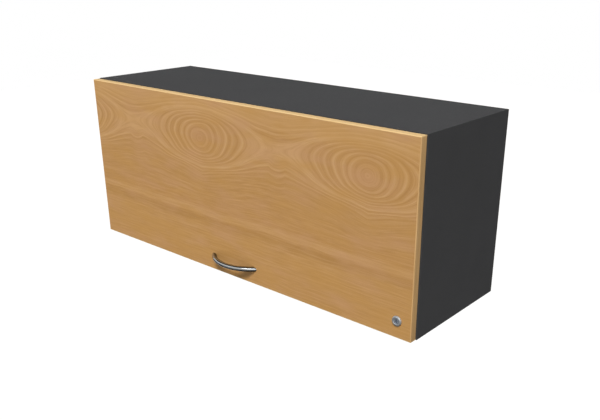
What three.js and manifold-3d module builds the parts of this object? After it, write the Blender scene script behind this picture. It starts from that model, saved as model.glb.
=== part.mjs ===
// A lift up wall cabinet: a charcoal box with one beech flap that covers its whole front.
// The flap hangs on two concealed cup hinges under the top panel, two gas struts hold it up,
// a bow handle lifts it, and a cam lock in its lower right corner turns down into the bottom panel.
//
// Millimetres. +X to the right as seen from the room, +Y to the wall, +Z up.
// Origin: on the wall plane, halfway across, at the height of the wall rail that the hooks sit on.

import * as THREE from 'three';
import Module from 'manifold-3d';
import { mergeVertices } from 'three/addons/utils/BufferGeometryUtils.js';

const wasm = await Module();
wasm.setup();

// ---------------------------------------------------------------- driving dimensions

// Cabinet
const cabinetWidth = 1000;
const cabinetHeight = 412;
const carcassDepth = 304;
const boardThickness = 18;
const carcassEdging = 1;
const railBelowTop = 42;

// Back panel, held in grooves in the four boards
const backThickness = 5;
const backInset = 18;
const grooveDepth = 6;
const grooveClearance = 0.2;

// Door
const doorThickness = 18;
const doorGap = 2;
const doorReveal = 1;
const doorEdging = 2;
const edgingRound = 1.7;

// Bow handle: a round bar bent to one arc of a circle
const handleBar = 12;
const handleRise = 26.5;
const handleHalfChord = 67;
const handleScrewSpacing = 128;
const handleAboveBottom = 38;

// Cam lock
const lockFromRight = 35;
const lockAboveBottom = 39;
const lockFlangeRadius = 11.3;
const lockBodyRadius = 9;
const plugRadius = 6;
const camReach = 34;
const camWidth = 14;
const camThickness = 2;

// Concealed hinges: pivots in the side view, as [back from the door's front, up from the underside]
const hingeHalfSpacing = 400;
const outerArmPivotAt = [52, 362];
const outerCupPivotAt = [16.4, 402];
const outerKneeAt = [12, 386];
const innerArmPivotAt = [22, 377.9];
const innerCupPivotAt = [11.7, 399.8];
const innerKneeAt = [7.6, 387.3];
const cupRadius = 17.4;
const cupWall = 0.8;
const cupDepth = 12.8;
const cupBelowEdge = 20.5;
const linkThickness = 2.2;

// Gas struts, one beside each side panel
const strutFromSide = 14;
const strutCarcassEndAt = [224, 262];
const strutDoorEndAt = [35, 362];
const strutTubeRadius = 7.5;
const strutRodRadius = 3;
const strutTubeLength = 130;
const strutStroke = 68;

// Cabinet hangers in the upper rear corners
const hangerWidth = 21;
const hangerLength = 61;
const hookThickness = 2.5;
const hookWidth = 16;
const hookBehindWallRail = 4;
const hookDrop = 12;

// General clearances
const snug = 0.1;
const running = 0.3;

// ---------------------------------------------------------------- planes worked out from them

const top = railBelowTop;
const bottom = railBelowTop - cabinetHeight;
const halfWidth = cabinetWidth / 2;
const innerHalf = halfWidth - boardThickness;
const innerTop = top - boardThickness;
const innerBottom = bottom + boardThickness;
const carcassFront = -carcassDepth;
const boardFront = carcassFront + carcassEdging;
const doorBack = carcassFront - doorGap;
const doorFront = doorBack - doorThickness;
const doorHalf = halfWidth - doorReveal;
const doorTop = top - doorReveal;
const doorBottom = bottom + doorReveal;
const backRear = -backInset;
const backFront = backRear - backThickness;
const lockX = halfWidth - lockFromRight;
const lockZ = bottom + lockAboveBottom;
const handleZ = bottom + handleAboveBottom;
const cupZ = doorTop - cupBelowEdge;
const strutX = innerHalf - strutFromSide;

// A side-view place as [y, z] in the cabinet's own frame.
const sideView = ([back, up]) => [doorFront + back, bottom + up];

const outerArmPivot = sideView(outerArmPivotAt);
const outerCupPivot = sideView(outerCupPivotAt);
const outerKnee = sideView(outerKneeAt);
const innerArmPivot = sideView(innerArmPivotAt);
const innerCupPivot = sideView(innerCupPivotAt);
const innerKnee = sideView(innerKneeAt);
const strutCarcassEnd = sideView(strutCarcassEndAt);
const strutDoorEnd = sideView(strutDoorEndAt);

// ---------------------------------------------------------------- finishes

function finish(color, roughness, metalness = 0) {
  return new THREE.MeshStandardMaterial({ color, roughness, metalness });
}

const beech = finish('#b88c5a', 0.5);
const beechEdging = finish('#dfb98a', 0.45);
const charcoal = finish('#4a4a4b', 0.6);
const fibreboard = finish('#515152', 0.7);
const chrome = finish('#d9dbde', 0.12, 1);
const plugMetal = finish('#7f8b98', 0.3, 1);
const nickelSteel = finish('#b9b6ae', 0.3, 1);
const zincSteel = finish('#aab0b4', 0.4, 1);
const blackPaint = finish('#202123', 0.4);
const blackPlastic = finish('#1c1c1d', 0.55);
const greyPlastic = finish('#8d8f91', 0.55);
const clearRubber = finish('#c9ccca', 0.4);

// ---------------------------------------------------------------- shape helpers

const cabinet = new THREE.Group();

function addPiece(name, geometry, material) {
  const mesh = new THREE.Mesh(geometry, material);
  mesh.name = name;
  cabinet.add(mesh);
}

function signedVolume(geometry) {
  const index = geometry.index.array;
  const position = geometry.attributes.position;
  const a = new THREE.Vector3();
  const b = new THREE.Vector3();
  const c = new THREE.Vector3();
  let volume = 0;
  for (let i = 0; i < index.length; i += 3) {
    a.fromBufferAttribute(position, index[i]);
    b.fromBufferAttribute(position, index[i + 1]);
    c.fromBufferAttribute(position, index[i + 2]);
    volume += a.dot(b.cross(c)) / 6;
  }
  return volume;
}

// One closed mesh with shared corners and its faces pointing out.
function closed(geometry) {
  const bare = geometry.clone();
  bare.deleteAttribute('normal');
  bare.deleteAttribute('uv');
  const merged = mergeVertices(bare, 1e-4);
  const kept = [];
  const index = merged.index.array;
  for (let i = 0; i < index.length; i += 3) {
    const [p, q, r] = [index[i], index[i + 1], index[i + 2]];
    if (p !== q && q !== r && r !== p) kept.push(p, q, r);
  }
  merged.setIndex(kept);
  if (signedVolume(merged) < 0) merged.setIndex(kept.reverse());
  return merged;
}

function toSolid(geometry) {
  const merged = closed(geometry);
  const vertProperties = new Float32Array(merged.attributes.position.array);
  const triVerts = new Uint32Array(merged.index.array);
  return new wasm.Manifold(new wasm.Mesh({ numProp: 3, vertProperties, triVerts }));
}

function fromSolid(solid) {
  const mesh = solid.getMesh();
  const geometry = new THREE.BufferGeometry();
  geometry.setAttribute('position', new THREE.BufferAttribute(mesh.vertProperties, 3));
  geometry.setIndex(new THREE.BufferAttribute(mesh.triVerts, 1));
  geometry.computeVertexNormals();
  return geometry;
}

function join(...geometries) {
  return fromSolid(geometries.map(toSolid).reduce((whole, piece) => whole.add(piece)));
}

function cut(geometry, ...tools) {
  const solids = tools.map(toSolid);
  return fromSolid(solids.reduce((rest, tool) => rest.subtract(tool), toSolid(geometry)));
}

function box([x0, x1], [y0, y1], [z0, z1]) {
  const geometry = new THREE.BoxGeometry(x1 - x0, y1 - y0, z1 - z0);
  return geometry.translate((x0 + x1) / 2, (y0 + y1) / 2, (z0 + z1) / 2);
}

// Round bars along each axis: the span along the axis, then the centre in the other two.
function barX(radius, [x0, x1], [y, z], sides = 16) {
  const bar = new THREE.CylinderGeometry(radius, radius, x1 - x0, sides).rotateZ(Math.PI / 2);
  return bar.translate((x0 + x1) / 2, y, z);
}

function barY(radius, [y0, y1], [x, z], sides = 16) {
  return new THREE.CylinderGeometry(radius, radius, y1 - y0, sides).translate(x, (y0 + y1) / 2, z);
}

function barZ(radius, [z0, z1], [x, y], sides = 12) {
  const bar = new THREE.CylinderGeometry(radius, radius, z1 - z0, sides).rotateX(Math.PI / 2);
  return bar.translate(x, y, (z0 + z1) / 2);
}

// A plate whose side view is an outline of [y, z] points, between two X planes.
function plateX(outline, [x0, x1]) {
  const shape = new THREE.Shape(outline.map(([y, z]) => new THREE.Vector2(y, z)));
  const geometry = new THREE.ExtrudeGeometry(shape, { depth: x1 - x0, bevelEnabled: false });
  const axes = new THREE.Matrix4().makeBasis(
    new THREE.Vector3(0, 1, 0),
    new THREE.Vector3(0, 0, 1),
    new THREE.Vector3(1, 0, 0),
  );
  return geometry.applyMatrix4(axes).translate(x0, 0, 0);
}

// A turned piece around a Y axis: [radius, along] points, then the centre in X and Z.
function turnedY(profile, [x, z], sides = 28) {
  const points = profile.map(([radius, along]) => new THREE.Vector2(radius, along));
  return closed(new THREE.LatheGeometry(points, sides)).translate(x, 0, z);
}

// A band of constant thickness that follows [y, z] points, with round knees, between two X planes.
function bandX(points, thickness, span) {
  const pieces = [];
  for (let i = 0; i + 1 < points.length; i += 1) {
    const [ay, az] = points[i];
    const [by, bz] = points[i + 1];
    const length = Math.hypot(by - ay, bz - az);
    const ny = ((az - bz) / length) * (thickness / 2);
    const nz = ((by - ay) / length) * (thickness / 2);
    const front = [[ay - ny, az - nz], [by - ny, bz - nz]];
    const rear = [[by + ny, bz + nz], [ay + ny, az + nz]];
    pieces.push(plateX([...front, ...rear], span));
    if (i > 0) pieces.push(barX(thickness / 2, span, points[i], 8));
  }
  return join(...pieces);
}

const mirrored = ([low, high], side) => (side > 0 ? [low, high] : [-high, -low]);

const sides = [['left', -1], ['right', 1]];

// ---------------------------------------------------------------- carcass boards

const grooveY = [backFront - grooveClearance, backRear + grooveClearance];
const pegPlaces = [[-45, -15], [-45, 12]];
const pegRadius = 4.8;
const pegLength = 11;
const hingeScrewOffset = 16;
const hingeScrewFromFront = 37;
const hingePlateY = carcassFront + hingeScrewFromFront;
const pilotRadius = 1.9;
const hingeScrewLength = 14;
const cutMargin = 1;

// The mortise that the lock's cam turns down into.
const camFront = -293.7;
const camSlotClearance = 1;
const camSlotY = [camFront - camSlotClearance, camFront + camThickness + camSlotClearance];
const camSlotX = [lockX - 29, lockX + camWidth / 2 + 1.5];
const camSlotDepth = 14.5;

function sidePanel(side) {
  const panel = box(mirrored([innerHalf, halfWidth], side), [boardFront, 0], [bottom, top]);
  const grooveX = mirrored([innerHalf - cutMargin, innerHalf + grooveDepth], side);
  const groove = box(grooveX, grooveY, [innerBottom - grooveDepth, innerTop + grooveDepth]);
  const pegX = mirrored([innerHalf - cutMargin, innerHalf + pegLength + 0.5], side);
  const pegHoles = pegPlaces.map((place) => barX(pegRadius + 0.2, pegX, place));
  return cut(panel, groove, ...pegHoles);
}

function topPanel() {
  const panel = box([-innerHalf, innerHalf], [boardFront, 0], [innerTop, top]);
  const grooveX = [-innerHalf - cutMargin, innerHalf + cutMargin];
  const groove = box(grooveX, grooveY, [innerTop - cutMargin, innerTop + grooveDepth]);
  const screwZ = [innerTop - cutMargin, innerTop + hingeScrewLength];
  const pilots = [];
  for (const [, side] of sides) {
    for (const offset of [-hingeScrewOffset, hingeScrewOffset]) {
      pilots.push(barZ(pilotRadius, screwZ, [side * hingeHalfSpacing + offset, hingePlateY], 8));
    }
  }
  return cut(panel, groove, ...pilots);
}

function bottomPanel() {
  const panel = box([-innerHalf, innerHalf], [boardFront, 0], [bottom, innerBottom]);
  const grooveX = [-innerHalf - cutMargin, innerHalf + cutMargin];
  const groove = box(grooveX, grooveY, [innerBottom - grooveDepth, innerBottom + cutMargin]);
  const mortise = box(camSlotX, camSlotY, [innerBottom - camSlotDepth, innerBottom + cutMargin]);
  return cut(panel, groove, mortise);
}

// Windows in the upper corners let the hanger hooks through to the wall rail.
function backPanel() {
  const reach = grooveDepth - running;
  const panel = box(
    [-innerHalf - reach, innerHalf + reach],
    [backFront, backRear],
    [innerBottom - reach, innerTop + reach],
  );
  const windows = sides.map(([, side]) => {
    const windowX = mirrored([innerHalf - 22, innerHalf - 1], side);
    return box(windowX, [backFront - cutMargin, backRear + cutMargin], [-16, 8]);
  });
  return cut(panel, ...windows);
}

for (const [name, side] of sides) {
  addPiece(`${name}_side_panel`, sidePanel(side), charcoal);
}
addPiece('top_panel', topPanel(), charcoal);
addPiece('bottom_panel', bottomPanel(), charcoal);
addPiece('back_panel', backPanel(), fibreboard);

const edgingY = [carcassFront, boardFront];
for (const [name, side] of sides) {
  const edging = box(mirrored([innerHalf, halfWidth], side), edgingY, [bottom, top]);
  addPiece(`${name}_side_front_edging`, edging, charcoal);
}
const betweenSides = [-innerHalf, innerHalf];
addPiece('top_front_edging', box(betweenSides, edgingY, [innerTop, top]), charcoal);
addPiece('bottom_front_edging', box(betweenSides, edgingY, [bottom, innerBottom]), charcoal);

// ---------------------------------------------------------------- cabinet hangers

const hangerRear = backFront - 2;
const hangerFront = hangerRear - hangerLength;
const hangerLow = -26;
const hangerHigh = 21;
const adjusterPlaces = [[9.5, 12], [9.5, -12]];
const adjusterRadius = 4;
const adjusterWell = 5;
const hookTail = 46;
const hookInset = 2;
const hookJoggle = 0.5;
const coverWall = 1.5;

// The adjusting screws' heads sit in wells in the front of the body, with a cross recess each.
function hangerBody(side) {
  const inner = innerHalf - hangerWidth;
  const hookSlotX = mirrored([inner + hookInset, inner + hookInset + hookWidth + 2 * running], side);
  const hookSlotY = [hangerRear - hookTail, hangerRear + cutMargin];
  const pegX = mirrored([innerHalf - 1, innerHalf + pegLength], side);
  let body = join(
    box(mirrored([inner, innerHalf], side), [hangerFront, hangerRear], [hangerLow, hangerHigh]),
    ...pegPlaces.map((place) => barX(pegRadius, pegX, place)),
  );
  const slot = box(hookSlotX, hookSlotY, [-running, hookThickness + running]);
  const wells = adjusterPlaces.map(([x, z]) => {
    const wellY = [hangerFront - cutMargin, hangerFront + adjusterWell];
    return barY(adjusterRadius + 1, wellY, [side * (inner + x), z]);
  });
  body = cut(body, slot, ...wells);
  const headY = [hangerFront + 1.5, hangerFront + adjusterWell + cutMargin];
  const heads = adjusterPlaces.map(([x, z]) => {
    return barY(adjusterRadius, headY, [side * (inner + x), z]);
  });
  const crosses = adjusterPlaces.flatMap(([x, z]) => {
    const centre = side * (inner + x);
    const recessY = [headY[0] - cutMargin, headY[0] + 1.5];
    return [
      box([centre - 2.5, centre + 2.5], recessY, [z - 0.5, z + 0.5]),
      box([centre - 0.5, centre + 0.5], recessY, [z - 2.5, z + 2.5]),
    ];
  });
  return cut(join(body, ...heads), ...crosses);
}

// A bent steel strip: it steps down behind the back panel, lies flat over the rail, and ends in
// a claw behind the rail's upper edge.
function hangerHook(side) {
  const inner = innerHalf - hangerWidth + hookInset + running;
  const tail = hangerRear - hookTail + running;
  const claw = -hookBehindWallRail - hookThickness;
  const outline = [
    [tail, hookJoggle],
    [backRear - 1, hookJoggle],
    [backRear, 0],
    [claw, 0],
    [claw, -hookDrop],
    [claw + 1, -hookDrop - 1.5],
    [-hookBehindWallRail, -hookDrop],
    [-hookBehindWallRail, hookThickness - 1],
    [-hookBehindWallRail - 1, hookThickness],
    [tail, hookThickness],
  ];
  return plateX(outline, mirrored([inner, inner + hookWidth], side));
}

function hangerCover(side) {
  const inner = innerHalf - hangerWidth - running;
  const shell = box(
    mirrored([inner - coverWall, innerHalf], side),
    [hangerFront - running - coverWall, hangerRear],
    [hangerLow - running - coverWall, hangerHigh + running + coverWall],
  );
  const inside = box(
    mirrored([inner, innerHalf + cutMargin], side),
    [hangerFront - running, hangerRear + cutMargin],
    [hangerLow - running, hangerHigh + running],
  );
  const holes = adjusterPlaces.map(([x, z]) => {
    const holeY = [hangerFront - coverWall - cutMargin, hangerFront + cutMargin];
    return barY(adjusterRadius + 1, holeY, [side * (innerHalf - hangerWidth + x), z]);
  });
  return cut(shell, inside, ...holes);
}

for (const [name, side] of sides) {
  addPiece(`${name}_hanger_body`, hangerBody(side), zincSteel);
  addPiece(`${name}_hanger_hook`, hangerHook(side), zincSteel);
  addPiece(`${name}_hanger_cover`, hangerCover(side), greyPlastic);
}

// ---------------------------------------------------------------- concealed hinges

const cupPinRadius = 1.2;
const armPinRadius = 1.5;
const openPivotPlay = 0.9;
const flangeThickness = 1.2;
const lipChamfer = 0.8;
const flangeSeat = doorBack + snug;
const flangeFace = doorBack + flangeThickness;
const flangeScrewOffset = 24;
const flangeScrewBelow = 6;
const wingHalf = 5;
const laneEdge = 7;
const laneGap = 0.4;
const cheekInner = 7.4;
const cheekOuter = 9;
const armWebLow = bottom + 389.5;
const armWebHigh = bottom + 391;
const plateLow = bottom + 391.3;

// How far from the cup's middle an axle at this height may run without breaking out of the cup.
const axleReach = (z) => Math.sqrt(cupRadius ** 2 - (z - cupZ + cupPinRadius) ** 2);

// A pressed cup with a flange, two countersunk wood screws, and a short axle for each link.
function hingeCup(x) {
  const floor = doorBack - cupDepth;
  const inner = cupRadius - cupWall;
  const cup = turnedY([
    [0, floor],
    [cupRadius - 1, floor],
    [cupRadius, floor + 1],
    [cupRadius, flangeSeat],
    [cupRadius + 1.4, flangeSeat],
    [cupRadius + 1.4, flangeFace],
    [inner + lipChamfer, flangeFace],
    [inner, flangeFace - lipChamfer],
    [inner, floor + cupWall + 1],
    [inner - 1, floor + cupWall],
    [0, floor + cupWall],
  ], [x, cupZ]);
  const wingZ = cupZ - flangeScrewBelow;
  const pieces = [cup];
  for (const way of [-1, 1]) {
    const [near, far] = mirrored([inner + 0.2, flangeScrewOffset], way);
    const screwPlace = [x + way * flangeScrewOffset, wingZ];
    pieces.push(box([x + near, x + far], [flangeSeat, flangeFace], [wingZ - wingHalf, wingZ + wingHalf]));
    pieces.push(barY(wingHalf, [flangeSeat, flangeFace], screwPlace));
    pieces.push(barY(3.6, [flangeFace - 0.5, flangeFace + 1.4], screwPlace, 12));
    pieces.push(barY(1.6, [doorBack - 13, flangeFace], screwPlace, 8));
  }
  pieces.push(barX(cupPinRadius, [x - axleReach(outerCupPivot[1]), x - 0.2], outerCupPivot, 12));
  pieces.push(barX(cupPinRadius, [x + 0.2, x + axleReach(innerCupPivot[1])], innerCupPivot, 12));
  return join(...pieces);
}

// A folded channel: a web under the mounting plate and two cheeks that carry the link pins.
function hingeArm(x) {
  const cheek = [
    [19.6, 376.4], [20.6, 375.3], [24.5, 375.3], [46.8, 359.8], [50.2, 357.6], [54, 357.6],
    [57, 360.5], [62, 373], [86, 385], [86, 391], [26, 391], [19.6, 382.5],
  ].map(sideView);
  const webY = [doorFront + 32, doorFront + 86];
  const screwPlace = [x, doorFront + 76];
  const channel = join(
    plateX(cheek, [x - cheekOuter, x - cheekInner]),
    plateX(cheek, [x + cheekInner, x + cheekOuter]),
    box([x - cheekOuter, x + cheekOuter], webY, [armWebLow, armWebHigh]),
    barZ(3.5, [armWebLow - 2.2, armWebLow + 0.5], screwPlace),
  );
  const throughArm = [x - cheekOuter - cutMargin, x + cheekOuter + cutMargin];
  const screwSlotY = [screwPlace[1] - 0.5, screwPlace[1] + 0.5];
  return cut(
    channel,
    barX(armPinRadius + snug, throughArm, outerArmPivot, 12),
    barX(cupPinRadius + snug, [x, x + cheekOuter + cutMargin], innerArmPivot, 12),
    box([x - 2.5, x + 2.5], screwSlotY, [armWebLow - 3, armWebLow - 1.2]),
  );
}

// A cross-shaped plate screwed up into the top panel.
function mountingPlate(x) {
  const pieces = [
    box([x - 8, x + 8], [doorFront + 34, doorFront + 90], [plateLow, innerTop]),
    box([x - 22, x + 22], [hingePlateY - 7, hingePlateY + 7], [plateLow, innerTop]),
  ];
  for (const offset of [-hingeScrewOffset, hingeScrewOffset]) {
    const place = [x + offset, hingePlateY];
    pieces.push(barZ(4, [plateLow - 1.8, plateLow + 0.5], place));
    pieces.push(barZ(1.7, [plateLow, innerTop + hingeScrewLength - 1], place, 8));
  }
  return join(...pieces);
}

// Each link is a bent band with an eye at each end; the two links keep to their own half of the cup.
function outerLink(x) {
  const lane = [x - laneEdge, x - laneGap];
  const link = join(
    bandX([outerCupPivot, outerKnee, outerArmPivot], linkThickness, lane),
    barX(2.4, lane, outerCupPivot),
    barX(3.8, [x - laneEdge, x + laneEdge], outerArmPivot),
  );
  const through = [x - laneEdge - cutMargin, x + laneEdge + cutMargin];
  return cut(
    link,
    barX(cupPinRadius + snug, through, outerCupPivot, 12),
    barX(armPinRadius + snug, through, outerArmPivot, 12),
  );
}

function innerLink(x) {
  const lane = [x + laneGap, x + laneEdge];
  const link = join(
    bandX([innerCupPivot, innerKnee, innerArmPivot], linkThickness, lane),
    barX(3, lane, innerCupPivot),
    barX(2.4, lane, innerArmPivot),
  );
  const through = [x, x + laneEdge + cutMargin];
  return cut(
    link,
    barX(cupPinRadius + openPivotPlay, through, innerCupPivot, 12),
    barX(cupPinRadius + snug, through, innerArmPivot, 12),
  );
}

for (const [name, side] of sides) {
  const x = side * hingeHalfSpacing;
  addPiece(`${name}_hinge_cup`, hingeCup(x), nickelSteel);
  addPiece(`${name}_hinge_arm`, hingeArm(x), nickelSteel);
  addPiece(`${name}_hinge_mounting_plate`, mountingPlate(x), nickelSteel);
  addPiece(`${name}_hinge_outer_link`, outerLink(x), nickelSteel);
  addPiece(`${name}_hinge_inner_link`, innerLink(x), nickelSteel);
  const outerPin = barX(armPinRadius, [x - cheekOuter, x + cheekOuter], outerArmPivot, 12);
  const innerPin = barX(cupPinRadius, [x + 0.2, x + cheekOuter], innerArmPivot, 12);
  addPiece(`${name}_hinge_outer_pin`, outerPin, zincSteel);
  addPiece(`${name}_hinge_inner_pin`, innerPin, zincSteel);
}

// ---------------------------------------------------------------- gas struts

const strutY = strutDoorEnd[0] - strutCarcassEnd[0];
const strutZ = strutDoorEnd[1] - strutCarcassEnd[1];
const strutLength = Math.hypot(strutY, strutZ);
const strutAngle = Math.atan2(strutZ, strutY);
const socketRadius = 6.5;
const socketHalf = 5.5;
const socketNeck = 4;
const tubeStart = 16;
const tubeEnd = tubeStart + strutTubeLength;
const tubeWall = 1.3;
const ballRadius = 4;
const studRadius = 2.5;
const bracketThickness = 2.5;

// Laid along +Y from the strut's carcass end, then turned and moved to its place.
function placeStrut(geometry, side) {
  return geometry.rotateX(strutAngle).translate(side * strutX, strutCarcassEnd[0], strutCarcassEnd[1]);
}

function strutTube() {
  const bore = strutTubeRadius - tubeWall;
  const guide = strutRodRadius + 0.2;
  return turnedY([
    [0, tubeStart],
    [strutTubeRadius - 1, tubeStart],
    [strutTubeRadius, tubeStart + 1],
    [strutTubeRadius, tubeEnd - 2],
    [strutTubeRadius - 2, tubeEnd],
    [guide, tubeEnd],
    [guide, tubeEnd - 8],
    [bore, tubeEnd - 8],
    [bore, tubeStart + 4],
    [0, tubeStart + 4],
  ], [0, 0], 20);
}

// The rod carries a piston that stays inside the tube over the whole stroke.
function strutRod() {
  const piston = strutTubeRadius - tubeWall - 0.2;
  const inner = tubeEnd - 10 - strutStroke - 8;
  return turnedY([
    [0, inner],
    [piston, inner],
    [piston, inner + 6],
    [strutRodRadius, inner + 6],
    [strutRodRadius, strutLength - socketRadius - 7],
    [0, strutLength - socketRadius - 7],
  ], [0, 0], 16);
}

// The socket at the carcass end is hollow, and its mouth faces the side panel's ball stud.
function carcassSocket(side) {
  const socket = join(
    barX(socketRadius, [-socketHalf, socketHalf], [0, 0]),
    barY(socketNeck, [0, tubeStart - running], [0, 0], 12),
  );
  const hollow = ballRadius + 0.4;
  return cut(socket, barX(hollow, mirrored([-ballRadius - 0.3, socketHalf + cutMargin], side), [0, 0]));
}

function doorSocket() {
  return join(
    barX(socketRadius, [-socketHalf, socketHalf], [strutLength, 0]),
    barY(socketNeck, [strutLength - socketRadius - 6.7, strutLength], [0, 0], 12),
  );
}

function carcassBallStud(side) {
  const place = strutCarcassEnd;
  const ball = new THREE.SphereGeometry(ballRadius, 12, 8);
  ball.translate(side * strutX, place[0], place[1]);
  return join(
    box(
      mirrored([innerHalf - bracketThickness, innerHalf], side),
      [place[0] - 9, place[0] + 9],
      [place[1] - 20, place[1] + 20],
    ),
    barX(studRadius, mirrored([strutX, innerHalf - 1], side), place),
    ...[-14, 14].map((offset) => {
      const head = mirrored([innerHalf - bracketThickness - 1.2, innerHalf - 1], side);
      return barX(3.5, head, [place[0], place[1] + offset], 12);
    }),
    ball,
  );
}

// A folded bracket on the door's back: a foot with two screws and a tab that carries the stud.
function doorBallStud(side) {
  const [y, z] = strutDoorEnd;
  const tab = [innerHalf - 2 - bracketThickness, innerHalf - 2];
  const studStart = strutX + socketHalf + 0.4;
  const footFace = doorBack + 2;
  const footX = [innerHalf - 30, innerHalf - 2];
  const screwHeadY = [footFace - 0.5, footFace + 1.4];
  const outline = [
    [doorBack, z - 20], [doorBack, z + 16], [footFace, z + 16], [y + 4, z + 7],
    [y + 7, z + 3], [y + 7, z - 3], [y + 4, z - 7], [footFace, z - 20],
  ];
  return join(
    plateX(outline, mirrored(tab, side)),
    box(mirrored(footX, side), [doorBack, footFace], [z - 20, z + 16]),
    barX(studRadius, mirrored([studStart + 0.5, tab[0] + 1], side), [y, z]),
    barX(ballRadius, mirrored([studStart, studStart + 1.2], side), [y, z]),
    ...[-13, 9].map((offset) => {
      return barY(3.5, screwHeadY, [side * (innerHalf - 20), z + offset], 12);
    }),
  );
}

for (const [name, side] of sides) {
  addPiece(`${name}_strut_carcass_bracket`, carcassBallStud(side), zincSteel);
  addPiece(`${name}_strut_carcass_socket`, placeStrut(carcassSocket(side), side), blackPlastic);
  addPiece(`${name}_strut_tube`, placeStrut(strutTube(), side), blackPaint);
  addPiece(`${name}_strut_rod`, placeStrut(strutRod(), side), chrome);
  addPiece(`${name}_strut_door_socket`, placeStrut(doorSocket(), side), blackPlastic);
  addPiece(`${name}_strut_door_bracket`, doorBallStud(side), zincSteel);
}

// ---------------------------------------------------------------- door

const coreHalf = doorHalf - doorEdging;
const coreTop = doorTop - doorEdging;
const coreBottom = doorBottom + doorEdging;
const handleScrewRadius = 2;
const handleScrewGrip = 5;
const throughDoor = [doorFront - cutMargin, doorBack + cutMargin];

function doorBoard() {
  const core = box([-coreHalf, coreHalf], [doorFront, doorBack], [coreBottom, coreTop]);
  const holes = [barY(lockBodyRadius + 0.3, throughDoor, [lockX, lockZ], 24)];
  for (const [, side] of sides) {
    const x = side * hingeHalfSpacing;
    const cupHole = [doorBack - cupDepth - 0.2, doorBack + cutMargin];
    holes.push(barY(cupRadius + 0.2, cupHole, [x, cupZ], 28));
    for (const offset of [-flangeScrewOffset, flangeScrewOffset]) {
      const pilotY = [doorBack - 13.5, doorBack + cutMargin];
      holes.push(barY(pilotRadius, pilotY, [x + offset, cupZ - flangeScrewBelow], 8));
    }
    const handleScrewPlace = [(side * handleScrewSpacing) / 2, handleZ];
    holes.push(barY(handleScrewRadius + 0.3, throughDoor, handleScrewPlace, 12));
  }
  return cut(core, ...holes);
}

// The edging's long outer corners are rounded: [across the door's thickness, out from the core].
function edgingOutline(steps = 3) {
  const points = [[0, 0]];
  for (let i = 0; i <= steps; i += 1) {
    const turn = (Math.PI / 2) * (i / steps);
    const across = edgingRound * (1 - Math.cos(turn));
    points.push([across, doorEdging - edgingRound * (1 - Math.sin(turn))]);
  }
  const mirroredPoints = points.map(([across, out]) => [doorThickness - across, out]).reverse();
  return [...points, ...mirroredPoints];
}

function levelEdging(base, way) {
  const outline = edgingOutline().map(([across, out]) => [doorFront + across, base + way * out]);
  return closed(plateX(outline, [-doorHalf, doorHalf]));
}

function uprightEdging(side) {
  const points = edgingOutline().map(([across, out]) => {
    return new THREE.Vector2(side * (coreHalf + out), doorFront + across);
  });
  const settings = { depth: coreTop - coreBottom, bevelEnabled: false };
  const edging = new THREE.ExtrudeGeometry(new THREE.Shape(points), settings);
  return closed(edging).translate(0, 0, coreBottom);
}

// The bar's centre line is an arc through both feet, and the feet are cut flush to the door.
class BowArc extends THREE.Curve {
  getPoint(t, target = new THREE.Vector3()) {
    const turn = (2 * t - 1) * bowHalfTurn;
    const out = bowRadius * Math.cos(turn) - (bowRadius - handleRise);
    return target.set(bowRadius * Math.sin(turn), doorFront - out, handleZ);
  }
}

const bowRadius = (handleHalfChord ** 2 + handleRise ** 2) / (2 * handleRise);
const bowHalfTurn = Math.asin(handleHalfChord / bowRadius) + THREE.MathUtils.degToRad(6);

function bowHandle() {
  const section = new THREE.Shape().absarc(0, 0, handleBar / 2, 0, 2 * Math.PI);
  const settings = { steps: 24, curveSegments: 7, extrudePath: new BowArc(), bevelEnabled: false };
  const bar = closed(new THREE.ExtrudeGeometry(section, settings));
  const behind = box([-100, 100], [doorFront - snug, doorFront + 40], [handleZ - 20, handleZ + 20]);
  const holes = sides.map(([, side]) => {
    const tapped = [doorFront - handleScrewGrip - 0.5, doorFront + cutMargin];
    return barY(handleScrewRadius + 0.2, tapped, [(side * handleScrewSpacing) / 2, handleZ], 12);
  });
  return cut(bar, behind, ...holes);
}

function handleScrew(side) {
  const place = [(side * handleScrewSpacing) / 2, handleZ];
  const screw = turnedY([
    [0, doorFront - handleScrewGrip],
    [handleScrewRadius, doorFront - handleScrewGrip],
    [handleScrewRadius, doorBack],
    [4, doorBack],
    [4, doorBack + 1.4],
    [3, doorBack + 2.4],
    [0, doorBack + 2.4],
  ], place, 12);
  const recess = [doorBack + 1, doorBack + 3];
  return cut(
    screw,
    box([place[0] - 2, place[0] + 2], recess, [handleZ - 0.5, handleZ + 0.5]),
    box([place[0] - 0.5, place[0] + 0.5], recess, [handleZ - 2, handleZ + 2]),
  );
}

addPiece('door_board', doorBoard(), beech);
addPiece('door_top_edging', levelEdging(coreTop, 1), beechEdging);
addPiece('door_bottom_edging', levelEdging(coreBottom, -1), beechEdging);
for (const [name, side] of sides) {
  addPiece(`door_${name}_edging`, uprightEdging(side), beechEdging);
}
addPiece('bow_handle', bowHandle(), chrome);
for (const [name, side] of sides) {
  addPiece(`${name}_handle_screw`, handleScrew(side), zincSteel);
}

// Soft dots in the lower corners that meet the carcass's front edge.
for (const [name, side] of sides) {
  const dotY = [doorBack, doorBack + doorGap - 0.2];
  const dot = barY(5, dotY, [side * (halfWidth - boardThickness / 2), bottom + 14], 16);
  addPiece(`${name}_door_bumper`, dot, clearRubber);
}

// ---------------------------------------------------------------- cam lock

const lockRise = 3;
const lockBodyRear = camFront - 0.3;
const nutThickness = 5;
const nutRadius = 12;
const plugFace = doorFront - lockRise;
const camRear = camFront + camThickness;
const driveHalf = 3.2;
const camScrewRadius = 1.8;
const keySlot = [1.6, 7.6];
const keySlotDepth = 14;

// A square bar on the lock's axis.
function squareBar(half, span) {
  return box([lockX - half, lockX + half], span, [lockZ - half, lockZ + half]);
}

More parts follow.
